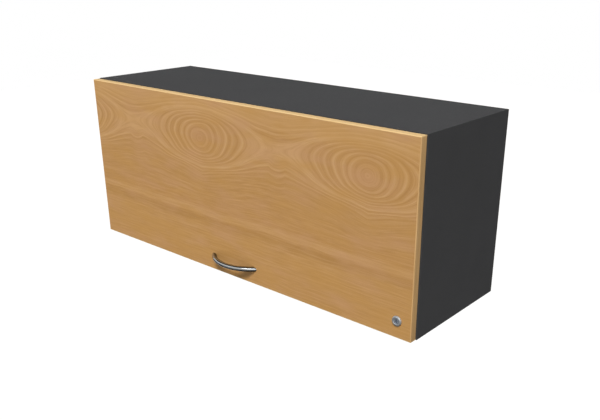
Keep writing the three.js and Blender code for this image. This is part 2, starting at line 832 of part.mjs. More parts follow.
function lockBody() {
  const bore = plugRadius + snug;
  return turnedY([
    [bore, plugFace],
    [plugRadius + 1.6, plugFace - 0.4],
    [lockFlangeRadius - 2, plugFace],
    [lockFlangeRadius, plugFace + 1.6],
    [lockFlangeRadius, doorFront - snug],
    [lockBodyRadius, doorFront - snug],
    [lockBodyRadius, lockBodyRear],
    [bore, lockBodyRear],
    [bore, plugFace],
  ], [lockX, lockZ]);
}

// The plug has a key slot in its face and a square end that drives the cam.
function lockPlug() {
  const plug = turnedY([
    [0, plugFace],
    [plugRadius - 0.3, plugFace],
    [plugRadius, plugFace + 0.3],
    [plugRadius, camFront - 0.1],
    [0, camFront - 0.1],
  ], [lockX, lockZ], 20);
  const drive = squareBar(driveHalf, [camFront - 1, camRear]);
  const slotX = [lockX - keySlot[0] / 2, lockX + keySlot[0] / 2];
  const slotZ = [lockZ - keySlot[1] / 2, lockZ + keySlot[1] / 2];
  const slot = box(slotX, [plugFace - 1, plugFace + keySlotDepth], slotZ);
  const tapped = barY(camScrewRadius + 0.2, [camRear - 8, camRear + 1], [lockX, lockZ], 12);
  return cut(join(plug, drive), slot, tapped);
}

// At rest the cam points to the left, clear of the bottom panel; locked, it points down.
function lockCam() {
  const half = camWidth / 2;
  const endX = lockX - camReach + half;
  const camY = [camFront, camRear];
  const blank = join(
    barY(half + 1, camY, [lockX, lockZ], 20),
    box([endX, lockX], camY, [lockZ - half, lockZ + half]),
    barY(half, camY, [endX, lockZ], 20),
  );
  return cut(blank, squareBar(driveHalf + snug, [camFront - 1, camRear + 1]));
}

function camScrew() {
  return turnedY([
    [0, camRear - 7],
    [camScrewRadius, camRear - 7],
    [camScrewRadius, camRear + snug],
    [5, camRear + snug],
    [5, camRear + 1.8],
    [3.6, camRear + 2.8],
    [0, camRear + 2.8],
  ], [lockX, lockZ], 12);
}

// A six-sided nut clamps the lock body against the door's back.
function lockNut() {
  const nut = barY(nutRadius, [doorBack, doorBack + nutThickness], [lockX, lockZ], 6);
  const through = [doorBack - 1, doorBack + nutThickness + 1];
  return cut(nut, barY(lockBodyRadius + 0.2, through, [lockX, lockZ], 32));
}

// A thin plate with the cam's slot, screwed over the mortise in the bottom panel.
function strikePlate() {
  const thickness = 1;
  const [left, right] = [camSlotX[0] - 8, camSlotX[1] + 6];
  const [front, rear] = [carcassFront + 3, carcassFront + 20];
  const plate = box([left, right], [front, rear], [innerBottom, innerBottom + thickness]);
  const screws = [left + 4, right - 3].map((x) => {
    return barZ(2, [innerBottom, innerBottom + thickness + 0.6], [x, rear - 4], 8);
  });
  const slot = box(camSlotX, camSlotY, [innerBottom - 1, innerBottom + thickness + 1]);
  return cut(join(plate, ...screws), slot);
}

addPiece('lock_body', lockBody(), chrome);
addPiece('lock_nut', lockNut(), zincSteel);
addPiece('lock_plug', lockPlug(), plugMetal);
addPiece('lock_cam', lockCam(), zincSteel);
addPiece('lock_cam_screw', camScrew(), zincSteel);
addPiece('lock_strike_plate', strikePlate(), zincSteel);

export default cabinet;
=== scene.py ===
"""A lift up wall cabinet: a charcoal box with one beech flap across its whole front.

Lengths are millimetres in the cabinet's own frame (+X right, +Y to the wall, +Z up), and
become metres when a mesh is made. The camera's and the studio's are metres from the start.
"""

import math

import bmesh
import bpy
import numpy as np
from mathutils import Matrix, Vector


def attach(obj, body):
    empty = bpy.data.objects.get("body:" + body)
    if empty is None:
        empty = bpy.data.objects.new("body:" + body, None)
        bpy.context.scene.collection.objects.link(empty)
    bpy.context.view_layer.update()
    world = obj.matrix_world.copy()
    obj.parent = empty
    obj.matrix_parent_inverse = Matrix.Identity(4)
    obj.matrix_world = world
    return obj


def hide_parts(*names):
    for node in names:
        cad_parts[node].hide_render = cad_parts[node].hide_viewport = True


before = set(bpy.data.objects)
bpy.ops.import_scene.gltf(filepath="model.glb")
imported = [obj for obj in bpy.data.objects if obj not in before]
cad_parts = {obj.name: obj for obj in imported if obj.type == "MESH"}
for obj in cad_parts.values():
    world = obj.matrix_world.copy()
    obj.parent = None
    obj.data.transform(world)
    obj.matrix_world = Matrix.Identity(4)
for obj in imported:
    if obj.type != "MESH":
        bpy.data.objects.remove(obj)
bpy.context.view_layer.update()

MM = 0.001
WELD, FLAT, SHARP = 1e-6, math.radians(1), math.radians(38)
X, Y, Z = np.eye(3)
SIDES = (("left", -1), ("right", 1))

# -------- the cabinet's own measures

INNER_HALF, INNER_TOP = 482.0, 24.0
DOOR_FRONT, DOOR_BACK = -324.0, -306.0
DOOR_THICK = DOOR_BACK - DOOR_FRONT
DOOR_HALF, DOOR_TOP, DOOR_BOTTOM = 499.0, 41.0, -369.0
EDGING, EDGING_ROUND = 2.0, 1.7

HANDLE_Z, HANDLE_BAR, HANDLE_RISE, HANDLE_HALF_CHORD = -332.0, 12.0, 26.32, 67.0
HANDLE_BOW = (HANDLE_HALF_CHORD**2 + HANDLE_RISE**2) / (2 * HANDLE_RISE)
HANDLE_CENTRE = DOOR_FRONT - HANDLE_RISE + HANDLE_BOW
HANDLE_SCREW_X, HANDLE_TAPPED = 64.0, 5.4

BUMPER_X, BUMPER_Z = 491.0, -356.0

LOCK_X, LOCK_Z = 465.0, -331.0
PLUG_FACE, CAM_FRONT, CAM_REAR = -327.0, -293.7, -291.7

HINGE_X = 400.0
CUP_Z, CUP_RADIUS, CUP_WALL, CUP_FLOOR = 20.5, 17.4, 0.8, -318.8
FLANGE_SEAT, FLANGE_FACE = -305.9, -304.8
OUTER_CUP_AXLE, INNER_CUP_AXLE, AXLE_RADIUS = (-307.6, 32.0), (-312.3, 29.8), 1.2
OUTER_ARM_PIN, INNER_ARM_PIN = (-272.0, -8.0), (-302.0, 7.9)
PLATE_LOW, PLATE_SCREW_Y, PLATE_SCREW_X = 21.3, -267.0, 16.0

STRUT_X, STRUT_LOW, STRUT_HIGH = 468.0, (-100.0, -108.0), (-289.0, -8.0)
TUBE_FOOT, TUBE_MOUTH, TUBE_RADIUS, TUBE_BORE = 16, 146, 7.5, 6.2
PISTON_BACK, PISTON_LONG, ROD_RADIUS = 60, 6, 3.0

# -------- surfaces from two parameters


def on_x(x, y, z):
    """A place whose third axis is X, with loops in the side view."""
    return np.array([x, y, z]), Y, Z, X


def on_y(x, y, z):
    """A place whose third axis is Y, with loops in the front view."""
    return np.array([x, y, z]), X, Z, Y


def on_z(x, y, z):
    """A place whose third axis is Z, with loops in the plan."""
    return np.array([x, y, z]), X, Y, Z


def round_loop(count=48):
    """Angles once round, without the last, which is the first again."""
    return np.linspace(0, 2 * np.pi, count, endpoint=False)


def rounded(profile, radius=0.3, steps=3, ring=False):
    """Softens the corners of a profile. A corner v becomes the parabola
    (1-s)^2 p + 2 s (1-s) v + s^2 q, where p and q lie on its two edges, radius away from v."""
    profile = np.asarray(profile, float)
    corner = profile if ring else profile[1:-1]
    before = np.roll(profile, 1, 0) if ring else profile[:-2]
    after = np.roll(profile, -1, 0) if ring else profile[2:]
    starts = []
    for other in (before, after):
        step = other - corner
        length = np.linalg.norm(step, axis=1, keepdims=True)
        starts.append(corner + step * np.minimum(radius / length, 0.45))
    s = np.linspace(0, 1, steps + 1)[:, None, None]
    bend = (1 - s) ** 2 * starts[0] + 2 * s * (1 - s) * corner + s**2 * starts[1]
    middle = bend.transpose(1, 0, 2).reshape(-1, profile.shape[1])
    return middle if ring else np.vstack([profile[:1], middle, profile[-1:]])


def stacked(profile, place, outlines=(), angles=None):
    """Loops stacked along a line. A profile row is (offset, share of each outline, level), and
    the loop's point at angle t is place + level e3 + reach(t) (cos t e1 + sin t e2), where
    reach(t) = offset + the sum of share times outline(t)."""
    angles = round_loop() if angles is None else angles
    profile = np.asarray(profile, float)
    reach = profile[:, :1] + np.zeros(len(angles))
    for k, outline in enumerate(outlines):
        reach = reach + profile[:, 1 + k, None] * outline
    origin, e1, e2, e3 = place
    flat = np.cos(angles)[:, None] * e1 + np.sin(angles)[:, None] * e2
    return origin + profile[:, -1, None, None] * e3 + reach[..., None] * flat


def turned(profile, place, radius=0.3, count=48, steps=3):
    """A solid of revolution: the (radius, level) profile with softened corners, carried round."""
    return stacked(rounded(profile, radius, steps), place, angles=round_loop(count))


def rectangle_reach(angles, half_across, up, down=None, power=14):
    """How far a softened rectangle reaches at each angle: (|cos/a|^p + |sin/b|^p)^(-1/p),
    where b is up above the middle and down below it."""
    down = up if down is None else down
    height = np.where(np.sin(angles) >= 0, up, down)
    across, upright = np.cos(angles) / half_across, np.sin(angles) / height
    return (np.abs(across) ** power + np.abs(upright) ** power) ** (-1 / power)


def bar_reach(angles, length, radius, heading):
    """How far a round-ended bar from the middle reaches: radius / |sin| along its side, and
    L cos + sqrt(r^2 - L^2 sin^2) over its far end, with angles counted from its heading."""
    away = angles - heading
    side = radius / np.maximum(np.abs(np.sin(away)), 1e-9)
    over = radius**2 - (length * np.sin(away)) ** 2
    end = length * np.cos(away) + np.sqrt(np.maximum(over, 0))
    forward = np.cos(away) > 0
    on_side = side * np.cos(away) <= length
    return np.where(forward, np.where(on_side, side, end), radius)


def cross_reach(angles, half_long, half_wide):
    """The outline of a cross recess: the longer of two crossed bars at each angle."""
    across = rectangle_reach(angles, half_long, half_wide, power=10)
    upright = rectangle_reach(angles, half_wide, half_long, power=10)
    return np.maximum(across, upright)


def shell(loops, ring):
    """Points and four-sided faces of a stack of closed loops. A ring joins its last loop to its
    first; otherwise the first and last loop are points or small caps."""
    rows, count = loops.shape[:2]
    index = np.arange(rows * count).reshape(rows, count)
    low = index if ring else index[:-1]
    high = np.roll(index, -1, 0) if ring else index[1:]
    faces = np.stack([low, np.roll(low, -1, 1), np.roll(high, -1, 1), high], -1)
    return loops.reshape(-1, 3), faces.reshape(-1, 4)


def in_scene(name, data):
    """A new object in the scene, at the origin."""
    made = bpy.data.objects.new(name, data)
    bpy.context.scene.collection.objects.link(made)
    return made


def smooth_by_angle(mesh):
    """Smooth shading that keeps the edges which turn more than the sharp angle."""
    mesh.polygons.foreach_set("use_smooth", np.ones(len(mesh.polygons), bool))
    mesh.set_sharp_from_angle(angle=SHARP)


def tidy_mesh(mesh):
    """Closes seams and poles by merging points at one place, then turns every face outwards."""
    work = bmesh.new()
    work.from_mesh(mesh)
    bmesh.ops.remove_doubles(work, verts=work.verts, dist=WELD)
    bmesh.ops.dissolve_degenerate(work, edges=work.edges, dist=WELD)
    bmesh.ops.recalc_face_normals(work, faces=work.faces)
    work.to_mesh(mesh)
    work.free()


def settle(piece, finish, body, nodes=()):
    """Gives a piece its finish, its body and the nodes that it stands for."""
    piece.data.materials.clear()
    piece.data.materials.append(finish)
    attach(piece, body)
    if nodes:
        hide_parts(*nodes)
    return piece


def new_piece(name, stacks, finish, body, nodes=(), ring=False):
    """One object from one or more closed shells, each given as its stack of loops."""
    shells = [shell(loops, ring) for loops in stacks]
    starts = np.cumsum([0] + [len(points) for points, _ in shells[:-1]])
    points = np.vstack([points for points, _ in shells]) * MM
    faces = np.vstack([faces + start for (_, faces), start in zip(shells, starts)])
    mesh = bpy.data.meshes.new(name)
    mesh.from_pydata(points, [], faces)
    tidy_mesh(mesh)
    smooth_by_angle(mesh)
    return settle(in_scene(name, mesh), finish, body, nodes)


def softened_copy(name, node_name, finish, body, width):
    """A copy of a CAD node with its arrises rounded by a bevel of this width."""
    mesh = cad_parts[node_name].data.copy()
    mesh.name = name
    work = bmesh.new()
    work.from_mesh(mesh)
    bmesh.ops.remove_doubles(work, verts=work.verts, dist=2 * WELD)
    bmesh.ops.dissolve_limit(work, angle_limit=FLAT, verts=work.verts, edges=work.edges)
    work.to_mesh(mesh)
    work.free()
    piece = in_scene(name, mesh)
    bevel = piece.modifiers.new("arrises", "BEVEL")
    bevel.width = width * MM
    bevel.segments = 2
    bevel.limit_method = "ANGLE"
    bevel.angle_limit = SHARP
    bevel.harden_normals = False
    evaluated = piece.evaluated_get(bpy.context.evaluated_depsgraph_get())
    piece.modifiers.clear()
    piece.data = bpy.data.meshes.new_from_object(evaluated)
    smooth_by_angle(piece.data)
    return settle(piece, finish, body, (node_name,))


# -------- finishes

SMOOTH, TIMES = {"interpolation_type": "SMOOTHSTEP"}, {"operation": "MULTIPLY"}

# The beech print: an eye's middle is at the origin once the board is shifted by this. Tones of
# the board run over the first 330 mm of ring distance.
EYE_SHIFT, EYE_SPACING, RING_GAP, BOARD_REACH = (94, 0, 50), 480, 8.2, 330


def colour(hex_value):
    """An sRGB hex colour as the linear colour that a socket takes."""
    parts = np.array([int(hex_value[k : k + 2], 16) for k in (1, 3, 5)]) / 255
    linear = np.where(parts <= 0.04045, parts / 12.92, ((parts + 0.055) / 1.055) ** 2.4)
    return (*linear, 1.0)


def node(tree, kind, *values, take=0, stops=(), **settings):
    """Adds one node. Values fill its inputs in order, capitalised settings fill inputs by name,
    other settings are its own properties, and a link is given as the output that it comes from.
    Gives back one output."""
    made = tree.nodes.new("ShaderNode" + kind)
    inputs = dict(enumerate(values))
    for key, value in settings.items():
        if key[0].isupper():
            inputs[key.replace("_", " ")] = value
        else:
            setattr(made, key, value)
    for key, value in inputs.items():
        if isinstance(value, bpy.types.NodeSocket):
            tree.links.new(value, made.inputs[key])
        else:
            made.inputs[key].default_value = value
    if stops:
        ramp = made.color_ramp
        while len(ramp.elements) < len(stops):
            ramp.elements.new(0.5)
        for element, (position, hex_value) in zip(ramp.elements, stops):
            element.position = position
            element.color = colour(hex_value)
    return made.outputs[take]


def finish_of(surface):
    """A material with one Principled surface, named as the function surface(tree), which gives
    each input's value or link."""
    made = bpy.data.materials.new(surface.__name__)
    made.use_nodes = True
    tree = made.node_tree
    shader = next(n for n in tree.nodes if n.type == "BSDF_PRINCIPLED")
    for key, value in surface(tree).items():
        if isinstance(value, bpy.types.NodeSocket):
            tree.links.new(value, shader.inputs[key])
        else:
            shader.inputs[key].default_value = value
    return made


def millimetres(tree, scale=(1, 1, 1), shift=(0, 0, 0)):
    """Object coordinates in millimetres times a scale for each axis, then shifted."""
    place = node(tree, "TexCoord", take="Object")
    return node(tree, "Mapping", Vector=place, Scale=[1000 * s for s in scale], Location=shift)


def non_metal(tone, gloss, relief, specular):
    """The inputs of a surface that isn't metal."""
    return {
        "Base Color": tone,
        "Roughness": gloss,
        "Normal": relief,
        "Specular IOR Level": specular,
    }


def beech_melamine(tree):
    """Melamine paper printed with plain-sawn beech, pressed on particleboard: satin, with fine
    long streaks, eyes of growth rings 480 mm apart near the top, and short dark flecks.
    With a across and h up from an eye's middle, a ring is a line of equal
    d = sqrt((k h)^2 + B |sin(pi a / 480)|^p) - c, and all of it sways by 2.6 mm. B is the
    square of the half-height of the outermost closed ring, and fades far below the eye, where
    the lines run level. p falls from 2 to 1 below the eye, where the lines come to a V. k is
    0.57 at an eye, which draws its rings out up and down, and grows to 1 at the saddle between
    two eyes. c is up to 5 mm, and gives the lines just under the saddle a small cusp."""
    spot = millimetres(tree, shift=EYE_SHIFT)
    slow = millimetres(tree, (1 / 130, 1 / 130, 1 / 60))
    sway = node(tree, "TexNoise", Vector=slow, Scale=1.0, Detail=2.0, Roughness=0.45)
    parts = node(tree, "SeparateXYZ", spot).node.outputs
    sway_up = node(tree, "MapRange", sway, 0.25, 0.75, -2.6, 2.6)
    across = node(tree, "Math", parts[0], node(tree, "Math", sway_up, 1.6, **TIMES))
    height = node(tree, "Math", parts[2], sway_up)
    depth = node(tree, "Math", height, operation="ABSOLUTE")
    reach = node(tree, "MapRange", height, -90.0, 45.0, 6400.0, 3900.0, **SMOOTH)
    fade = node(tree, "MapRange", height, -170.0, -75.0, 0.08, 1.0, **SMOOTH)
    power = node(tree, "MapRange", height, -84.0, -30.0, 1.05, 2.0, **SMOOTH)
    turn = node(tree, "Math", across, math.pi / EYE_SPACING, **TIMES)
    wave = node(tree, "Math", node(tree, "Math", turn, operation="SINE"), operation="ABSOLUTE")
    swell = node(tree, "Math", wave, power, operation="POWER")
    for factor in (reach, fade):
        swell = node(tree, "Math", swell, factor, **TIMES)
    squeeze = node(tree, "MapRange", depth, 26.0, 76.0, 0.57, 1.0, **SMOOTH)
    saddle = node(tree, "Math", wave, wave, **TIMES)
    squeeze = node(tree, "MapRange", saddle, 0.0, 0.9, squeeze, 1.0)
    rise = node(tree, "Math", height, squeeze, **TIMES)
    square = node(tree, "Math", rise, rise, swell, operation="MULTIPLY_ADD")
    distance = node(tree, "Math", square, operation="SQRT")
    cusp = node(tree, "MapRange", wave, 0.988, 1.0, 0.0, 5.0)
    below = node(tree, "MapRange", height, -25.0, -5.0, 1.0, 0.0)
    shallow = node(tree, "MapRange", height, -110.0, -55.0, 0.0, 1.0)
    for factor in (below, shallow):
        cusp = node(tree, "Math", cusp, factor, **TIMES)
    distance = node(tree, "Math", distance, cusp, operation="SUBTRACT")

    # Rings are unevenly spaced, about 8 mm apart, with one wide pale ring between the last
    # closed one and the first line that runs on from eye to eye.
    slowly = node(tree, "Math", distance, 0.055, **TIMES)
    uneven = node(tree, "TexNoise", W=slowly, noise_dimensions="1D", Scale=1.0, Detail=1.0)
    spread = node(tree, "Math", uneven, 4.0, distance, operation="MULTIPLY_ADD")
    wide = node(tree, "MapRange", distance, 57.0, 72.0, 0.0, 8.0, **SMOOTH)
    spread = node(tree, "Math", spread, wide, operation="SUBTRACT")
    phase = node(tree, "Math", spread, 1 / RING_GAP, **TIMES)
    ring = node(tree, "Math", phase, operation="FRACT")
    ring_stops = (
        (0.0, "#aa7c47"), (0.13, "#b3864f"), (0.40, "#ba8e59"), (0.62, "#c99f6e"),
        (0.76, "#c1965f"), (1.0, "#aa7c47"),
    )
    ring_tone = node(tree, "ValToRGB", ring, stops=ring_stops)

    # The tone across the board: pale between the eyes, a pale band and a dark line lower down.
    broad = node(tree, "Math", distance, 1 / BOARD_REACH, **TIMES)
    board_stops = (
        (0.0, "#b98b5c"), (0.12, "#b98d5b"), (0.20, "#c39868"), (0.26, "#b48852"),
        (0.42, "#b58852"), (0.50, "#b4864f"), (0.525, "#c0945f"), (0.555, "#bf925d"),
        (0.58, "#ab7e47"), (0.615, "#ac8049"), (0.65, "#b98c54"), (1.0, "#b6884f"),
    )
    board_tone = node(tree, "ValToRGB", broad, stops=board_stops)

    # Rings are plain round an eye, and faint in its middle, in the channel between two eyes and
    # further down the board.
    near_eye = node(tree, "MapRange", distance, 76.0, 104.0, 0.66, 0.15, **SMOOTH)
    bare_middle = node(tree, "MapRange", distance, 6.0, 20.0, 0.15, 1.0, **SMOOTH)
    between = node(tree, "MapRange", wave, 0.74, 0.94, 0.0, 0.9, **SMOOTH)
    channel = node(tree, "MapRange", depth, 16.0, 32.0, 1.0, 0.0, **SMOOTH)
    calm = node(tree, "Math", between, channel, **TIMES)
    calm = node(tree, "Math", 1.0, calm, operation="SUBTRACT")
    strength = node(tree, "Math", near_eye, bare_middle, **TIMES)
    strength = node(tree, "Math", strength, calm, **TIMES)
    tone = node(tree, "MixRGB", Fac=strength, Color1=board_tone, Color2=ring_tone)

    # Streaks follow the same lines: 3.4 mm broad ones that show from across a room, and fine ones.
    flow = node(tree, "CombineXYZ", across, 0.0, distance)
    for period, length, contrast in ((3.4, 150, 0.36), (1.2, 45, 0.42)):
        stretched = node(tree, "Mapping", Vector=flow, Scale=(1 / length, 1, 1 / period))
        streak = node(tree, "TexNoise", Vector=stretched, Scale=1.0, Detail=3.0, Roughness=0.55)
        dark = node(tree, "MapRange", streak, 0.30, 0.52, contrast, 0.0)
        light = node(tree, "MapRange", streak, 0.50, 0.72, 0.0, contrast)
        tone = node(tree, "MixRGB", Fac=dark, Color1=tone, Color2=colour("#a57a45"))
        tone = node(tree, "MixRGB", Fac=light, Color1=tone, Color2=colour("#c79d6c"))

    # The wood is a little paler above the eyes. Slow pink and ochre mottling, and dark flecks
    # 3 mm long, go over all of it.
    above = node(tree, "MapRange", height, 38.0, 74.0, 0.0, 0.34, **SMOOTH)
    cloud = millimetres(tree, (1 / 95, 1 / 95, 1 / 34), (7, 0, 3))
    mottle = node(tree, "TexNoise", Vector=cloud, Scale=1.0, Detail=2.0)
    pink = node(tree, "MapRange", mottle, 0.50, 0.72, 0.0, 0.45)
    ochre = node(tree, "MapRange", mottle, 0.28, 0.50, 0.45, 0.0)
    short = millimetres(tree, (1 / 3.2, 1, 1 / 0.5))
    fleck = node(tree, "TexNoise", Vector=short, Scale=1.0, Detail=2.0)
    fleck = node(tree, "MapRange", fleck, 0.62, 0.72, 0.0, 0.35)
    tints = (above, "#cda26b"), (pink, "#bd9068"), (ochre, "#b98b4b"), (fleck, "#8d6436")
    for share, tint in tints:
        tone = node(tree, "MixRGB", Fac=share, Color1=tone, Color2=colour(tint))

    # The press plate leaves fine pores along the grain.
    pore = millimetres(tree, (1 / 5, 1, 1 / 0.4))
    grain = node(tree, "TexNoise", Vector=pore, Scale=1.0, Detail=3.0)
    relief = node(tree, "Bump", Height=grain, Strength=0.12, Distance=0.0002)
    gloss = node(tree, "MapRange", grain, 0.3, 0.7, 0.42, 0.54)
    return non_metal(tone, gloss, relief, 0.3)


def beech_edging(tree, along, tones):
    """Moulded edging tape printed to go with the beech: streaks of 1 to 3 mm run along the
    tape's axis, and the rounded corners are buffed to a satin."""
    scale = [1 / 1.8] * 3
    scale[along] = 1 / 90
    streak = node(
        tree, "TexNoise", Vector=millimetres(tree, scale), Scale=1.0, Detail=3.0, Roughness=0.6
    )
    tone = node(tree, "ValToRGB", streak, stops=tuple(zip((0.25, 0.5, 0.75), tones)))
    scale[along] = 1 / 300
    band = node(tree, "TexNoise", Vector=millimetres(tree, scale, (3, 9, 5)), Scale=0.4)
    shade = node(tree, "MapRange", band, 0.45, 0.75, 0.0, 0.35)
    tone = node(tree, "MixRGB", Fac=shade, Color1=tone, Color2=colour(tones[0]))
    relief = node(tree, "Bump", Height=streak, Strength=0.08, Distance=0.0002)
    gloss = node(tree, "MapRange", streak, 0.3, 0.7, 0.36, 0.48)
    return non_metal(tone, gloss, relief, 0.35)


def beech_edging_painted_light(tree):
    """The tape along the door's top and bottom, much paler than the face and the side tape: the
    paler tone is painted light, for the light that falls on the door's top edge, and the bottom
    tape shares it.
    """
    return beech_edging(tree, 0, ("#d5b078", "#dfbc86", "#e6c691"))


def beech_edging_upright(tree):
    """The tape along the door's sides, a little paler than the face."""
    return beech_edging(tree, 2, ("#bb925d", "#c8a06b", "#d0aa77"))


def particleboard(tree):
    """The raw cut edge of particleboard: chips 1 to 4 mm long glued with finer dust."""
    warp = node(tree, "TexNoise", Vector=millimetres(tree), Scale=0.8, Detail=2.0, take="Color")
    spot = node(
        tree, "VectorMath", warp, (2.2, 2.2, 2.2), millimetres(tree), operation="MULTIPLY_ADD"
    )
    spot = node(tree, "Mapping", Vector=spot, Scale=(1 / 2.4, 1 / 2.4, 1 / 1.5))
    chips = node(tree, "TexVoronoi", Vector=spot, Scale=1.0, Randomness=1.0, take="Color")
    value = node(tree, "SeparateColor", chips)
    dust = node(tree, "TexNoise", Vector=millimetres(tree), Scale=0.9, Detail=4.0, Roughness=0.7)
    value = node(tree, "MapRange", value, 0.0, 1.0, -0.22, 0.22)
    value = node(tree, "Math", value, dust)
    return node(
        tree, "ValToRGB", value,
        stops=((0.22, "#86653f"), (0.42, "#ab8a60"), (0.6, "#bf9f75"), (0.8, "#d2b68e")),
    )


def charcoal_melamine(tree):
    """Charcoal melamine with the press plate's pearl structure, 1 to 2 mm, which breaks up its
    sheen. Rear edges stay raw, as the maker leaves them, because they face the wall."""
    spot = millimetres(tree)
    pearl = node(tree, "TexNoise", Vector=spot, Scale=0.75, Detail=3.0, Roughness=0.5)
    cloud = node(tree, "TexNoise", Vector=spot, Scale=0.012, Detail=3.0, Roughness=0.6)
    tone = node(tree, "ValToRGB", pearl, stops=((0.3, "#404041"), (0.7, "#49494a")))
    tint = node(tree, "ValToRGB", cloud, stops=((0.35, "#444445"), (0.65, "#474748")))
    tone = node(tree, "MixRGB", Fac=0.5, Color1=tone, Color2=tint)
    rough = node(tree, "MapRange", pearl, 0.3, 0.7, 0.5, 0.66)
    raw = node(
        tree, "Math", node(tree, "SeparateXYZ", spot, take=1), -0.2, operation="GREATER_THAN"
    )
    tone = node(tree, "MixRGB", Fac=raw, Color1=tone, Color2=particleboard(tree))
    rough = node(tree, "MixRGB", Fac=raw, Color1=rough, Color2=(0.85, 0.85, 0.85, 1))
    relief = node(tree, "Bump", Height=pearl, Strength=0.16, Distance=0.0004)
    return non_metal(tone, rough, relief, 0.06)


def charcoal_edging(tree):
    """Charcoal edging tape: drawn plastic with faint lines along its length and a soft sheen."""
    drawn = millimetres(tree, (1 / 60, 1 / 0.8, 1 / 60))
    lines = node(tree, "TexNoise", Vector=drawn, Scale=1.0, Detail=3.0)
    grit = node(tree, "TexNoise", Vector=millimetres(tree), Scale=1.4, Detail=2.0)
    tone = node(tree, "ValToRGB", lines, stops=((0.3, "#3f3f40"), (0.7, "#4a4a4b")))
    relief = node(tree, "Bump", Height=grit, Strength=0.1, Distance=0.0002)
    gloss = node(tree, "MapRange", lines, 0.3, 0.7, 0.42, 0.56)
    return non_metal(tone, gloss, relief, 0.2)


def lacquered_fibreboard(tree):
    """Thin fibreboard lacquered charcoal: felted fibres, 3 to 10 mm long, just show through."""
    felt = millimetres(tree, (1 / 2.6, 1, 1 / 1.1))
    fibre = node(
        tree, "TexNoise", Vector=felt, Scale=1.0, Detail=4.0, Roughness=0.65, Distortion=1.2
    )
    cloud = node(tree, "TexNoise", Vector=millimetres(tree), Scale=0.02, Detail=2.0)
    tone = node(tree, "ValToRGB", fibre, stops=((0.3, "#434344"), (0.7, "#535354")))
    shade = node(tree, "MapRange", cloud, 0.4, 0.7, 0.0, 0.4)
    tone = node(tree, "MixRGB", Fac=shade, Color1=tone, Color2=colour("#3e3e3f"))
    relief = node(tree, "Bump", Height=fibre, Strength=0.15, Distance=0.0003)
    gloss = node(tree, "MapRange", fibre, 0.3, 0.7, 0.6, 0.75)
    return non_metal(tone, gloss, relief, 0.2)


def plated(tree, low, high, rough_low, rough_high, grit, relief, stretch=(1, 1, 1)):
    """Plated metal: colour drifts between two tones, and hairlines and wipe marks vary the
    gloss. Grit is the marks' size in millimetres."""
    marks = node(
        tree, "TexNoise", Vector=millimetres(tree, stretch), Scale=1 / grit, Detail=4.0,
        Roughness=0.6,
    )
    drift = node(tree, "TexNoise", Vector=millimetres(tree), Scale=0.03, Detail=2.0)
    tone = node(tree, "ValToRGB", drift, stops=((0.35, low), (0.65, high)))
    gloss = node(tree, "MapRange", marks, 0.3, 0.7, rough_low, rough_high)
    bump = node(tree, "Bump", Height=marks, Strength=relief, Distance=0.0001)
    return {"Base Color": tone, "Metallic": 1.0, "Roughness": gloss, "Normal": bump}


def polished_chrome(tree):
    """Dark chrome on a polished bar: close to a mirror, with faint wipe marks. The inner side of
    each foot, near the door, is darkened with painted shade, for the shade and the dark reflection
    where the bar meets the door."""
    made = plated(tree, "#a9abac", "#b1b3b4", 0.12, 0.16, grit=6.0, relief=0.01)
    depth = node(tree, "SeparateXYZ", millimetres(tree), take=1)
    near_door = node(tree, "MapRange", depth, DOOR_FRONT - 26, DOOR_FRONT - 14, 0.0, 0.97)
    spoke = millimetres(tree, (1, 1, 0), (0, -HANDLE_CENTRE, 0))
    from_centre = node(tree, "VectorMath", spoke, take=1, operation="LENGTH")
    inner_side = node(tree, "MapRange", from_centre, HANDLE_BOW + 3, HANDLE_BOW - 1, 0.0, 1.0)
    foot_painted_shade = node(tree, "Math", near_door, inner_side, **TIMES)
    # Painted shade: on the inner side of each foot, near the door, the base colour turns to this
    # dark tone.
    bright, dark = made["Base Color"], colour("#2f2c2a")
    made["Base Color"] = node(tree, "MixRGB", Fac=foot_painted_shade, Color1=bright, Color2=dark)
    return made


def cast_chrome(tree):
    """Satin chrome on a die-cast lock: paler and much softer than the handle's, from the
    casting's skin, so its dome catches one broad highlight."""
    return plated(tree, "#c6cacd", "#d2d5d8", 0.52, 0.60, grit=1.2, relief=0.05)


def plug_nickel(tree):
    """Bluish satin nickel on the turned lock plug, with keys' fine scratches round the slot."""
    return plated(tree, "#adb6c3", "#bac2ce", 0.46, 0.56, grit=0.7, relief=0.06)


def pressed_nickel(tree):
    """Nickel on pressed steel: warm grey, with drawing lines about 0.6 mm apart."""
    return plated(
        tree, "#b5b1a8", "#c6c3bb", 0.24, 0.34, grit=0.6, stretch=(1, 0.12, 1), relief=0.02
    )


def zinc_plate(tree):
    """Bright zinc on steel: cool grey, a little cloudy, with a fine crystalline bloom."""
    return plated(tree, "#a6adb3", "#bcc2c6", 0.30, 0.44, grit=1.4, relief=0.04)


def hard_chrome(tree):
    """Ground and hard-chromed piston rod: very smooth, with faint 0.5 mm grinding marks."""
    return plated(tree, "#d3d6da", "#e0e2e4", 0.06, 0.12, grit=0.5, relief=0.01)


def speckled(tree, low, high, rough_low, rough_high, grit, relief, specular=0.4):
    """A coat or moulding of one colour: grains of the given size in millimetres vary its tone,
    gloss and relief."""
    grains = node(tree, "TexNoise", Vector=millimetres(tree), Scale=1 / grit, Detail=3.0)
    tone = node(tree, "ValToRGB", grains, stops=((0.35, low), (0.65, high)))
    gloss = node(tree, "MapRange", grains, 0.3, 0.7, rough_low, rough_high)
    bump = node(tree, "Bump", Height=grains, Strength=relief, Distance=0.0002)
    return non_metal(tone, gloss, bump, specular)


def black_powder_coat(tree):
    """Black powder coat on the strut's tube: a fine orange peel of 0.8 mm."""
    return speckled(tree, "#1b1c1e", "#242527", 0.30, 0.42, 0.8, 0.18)


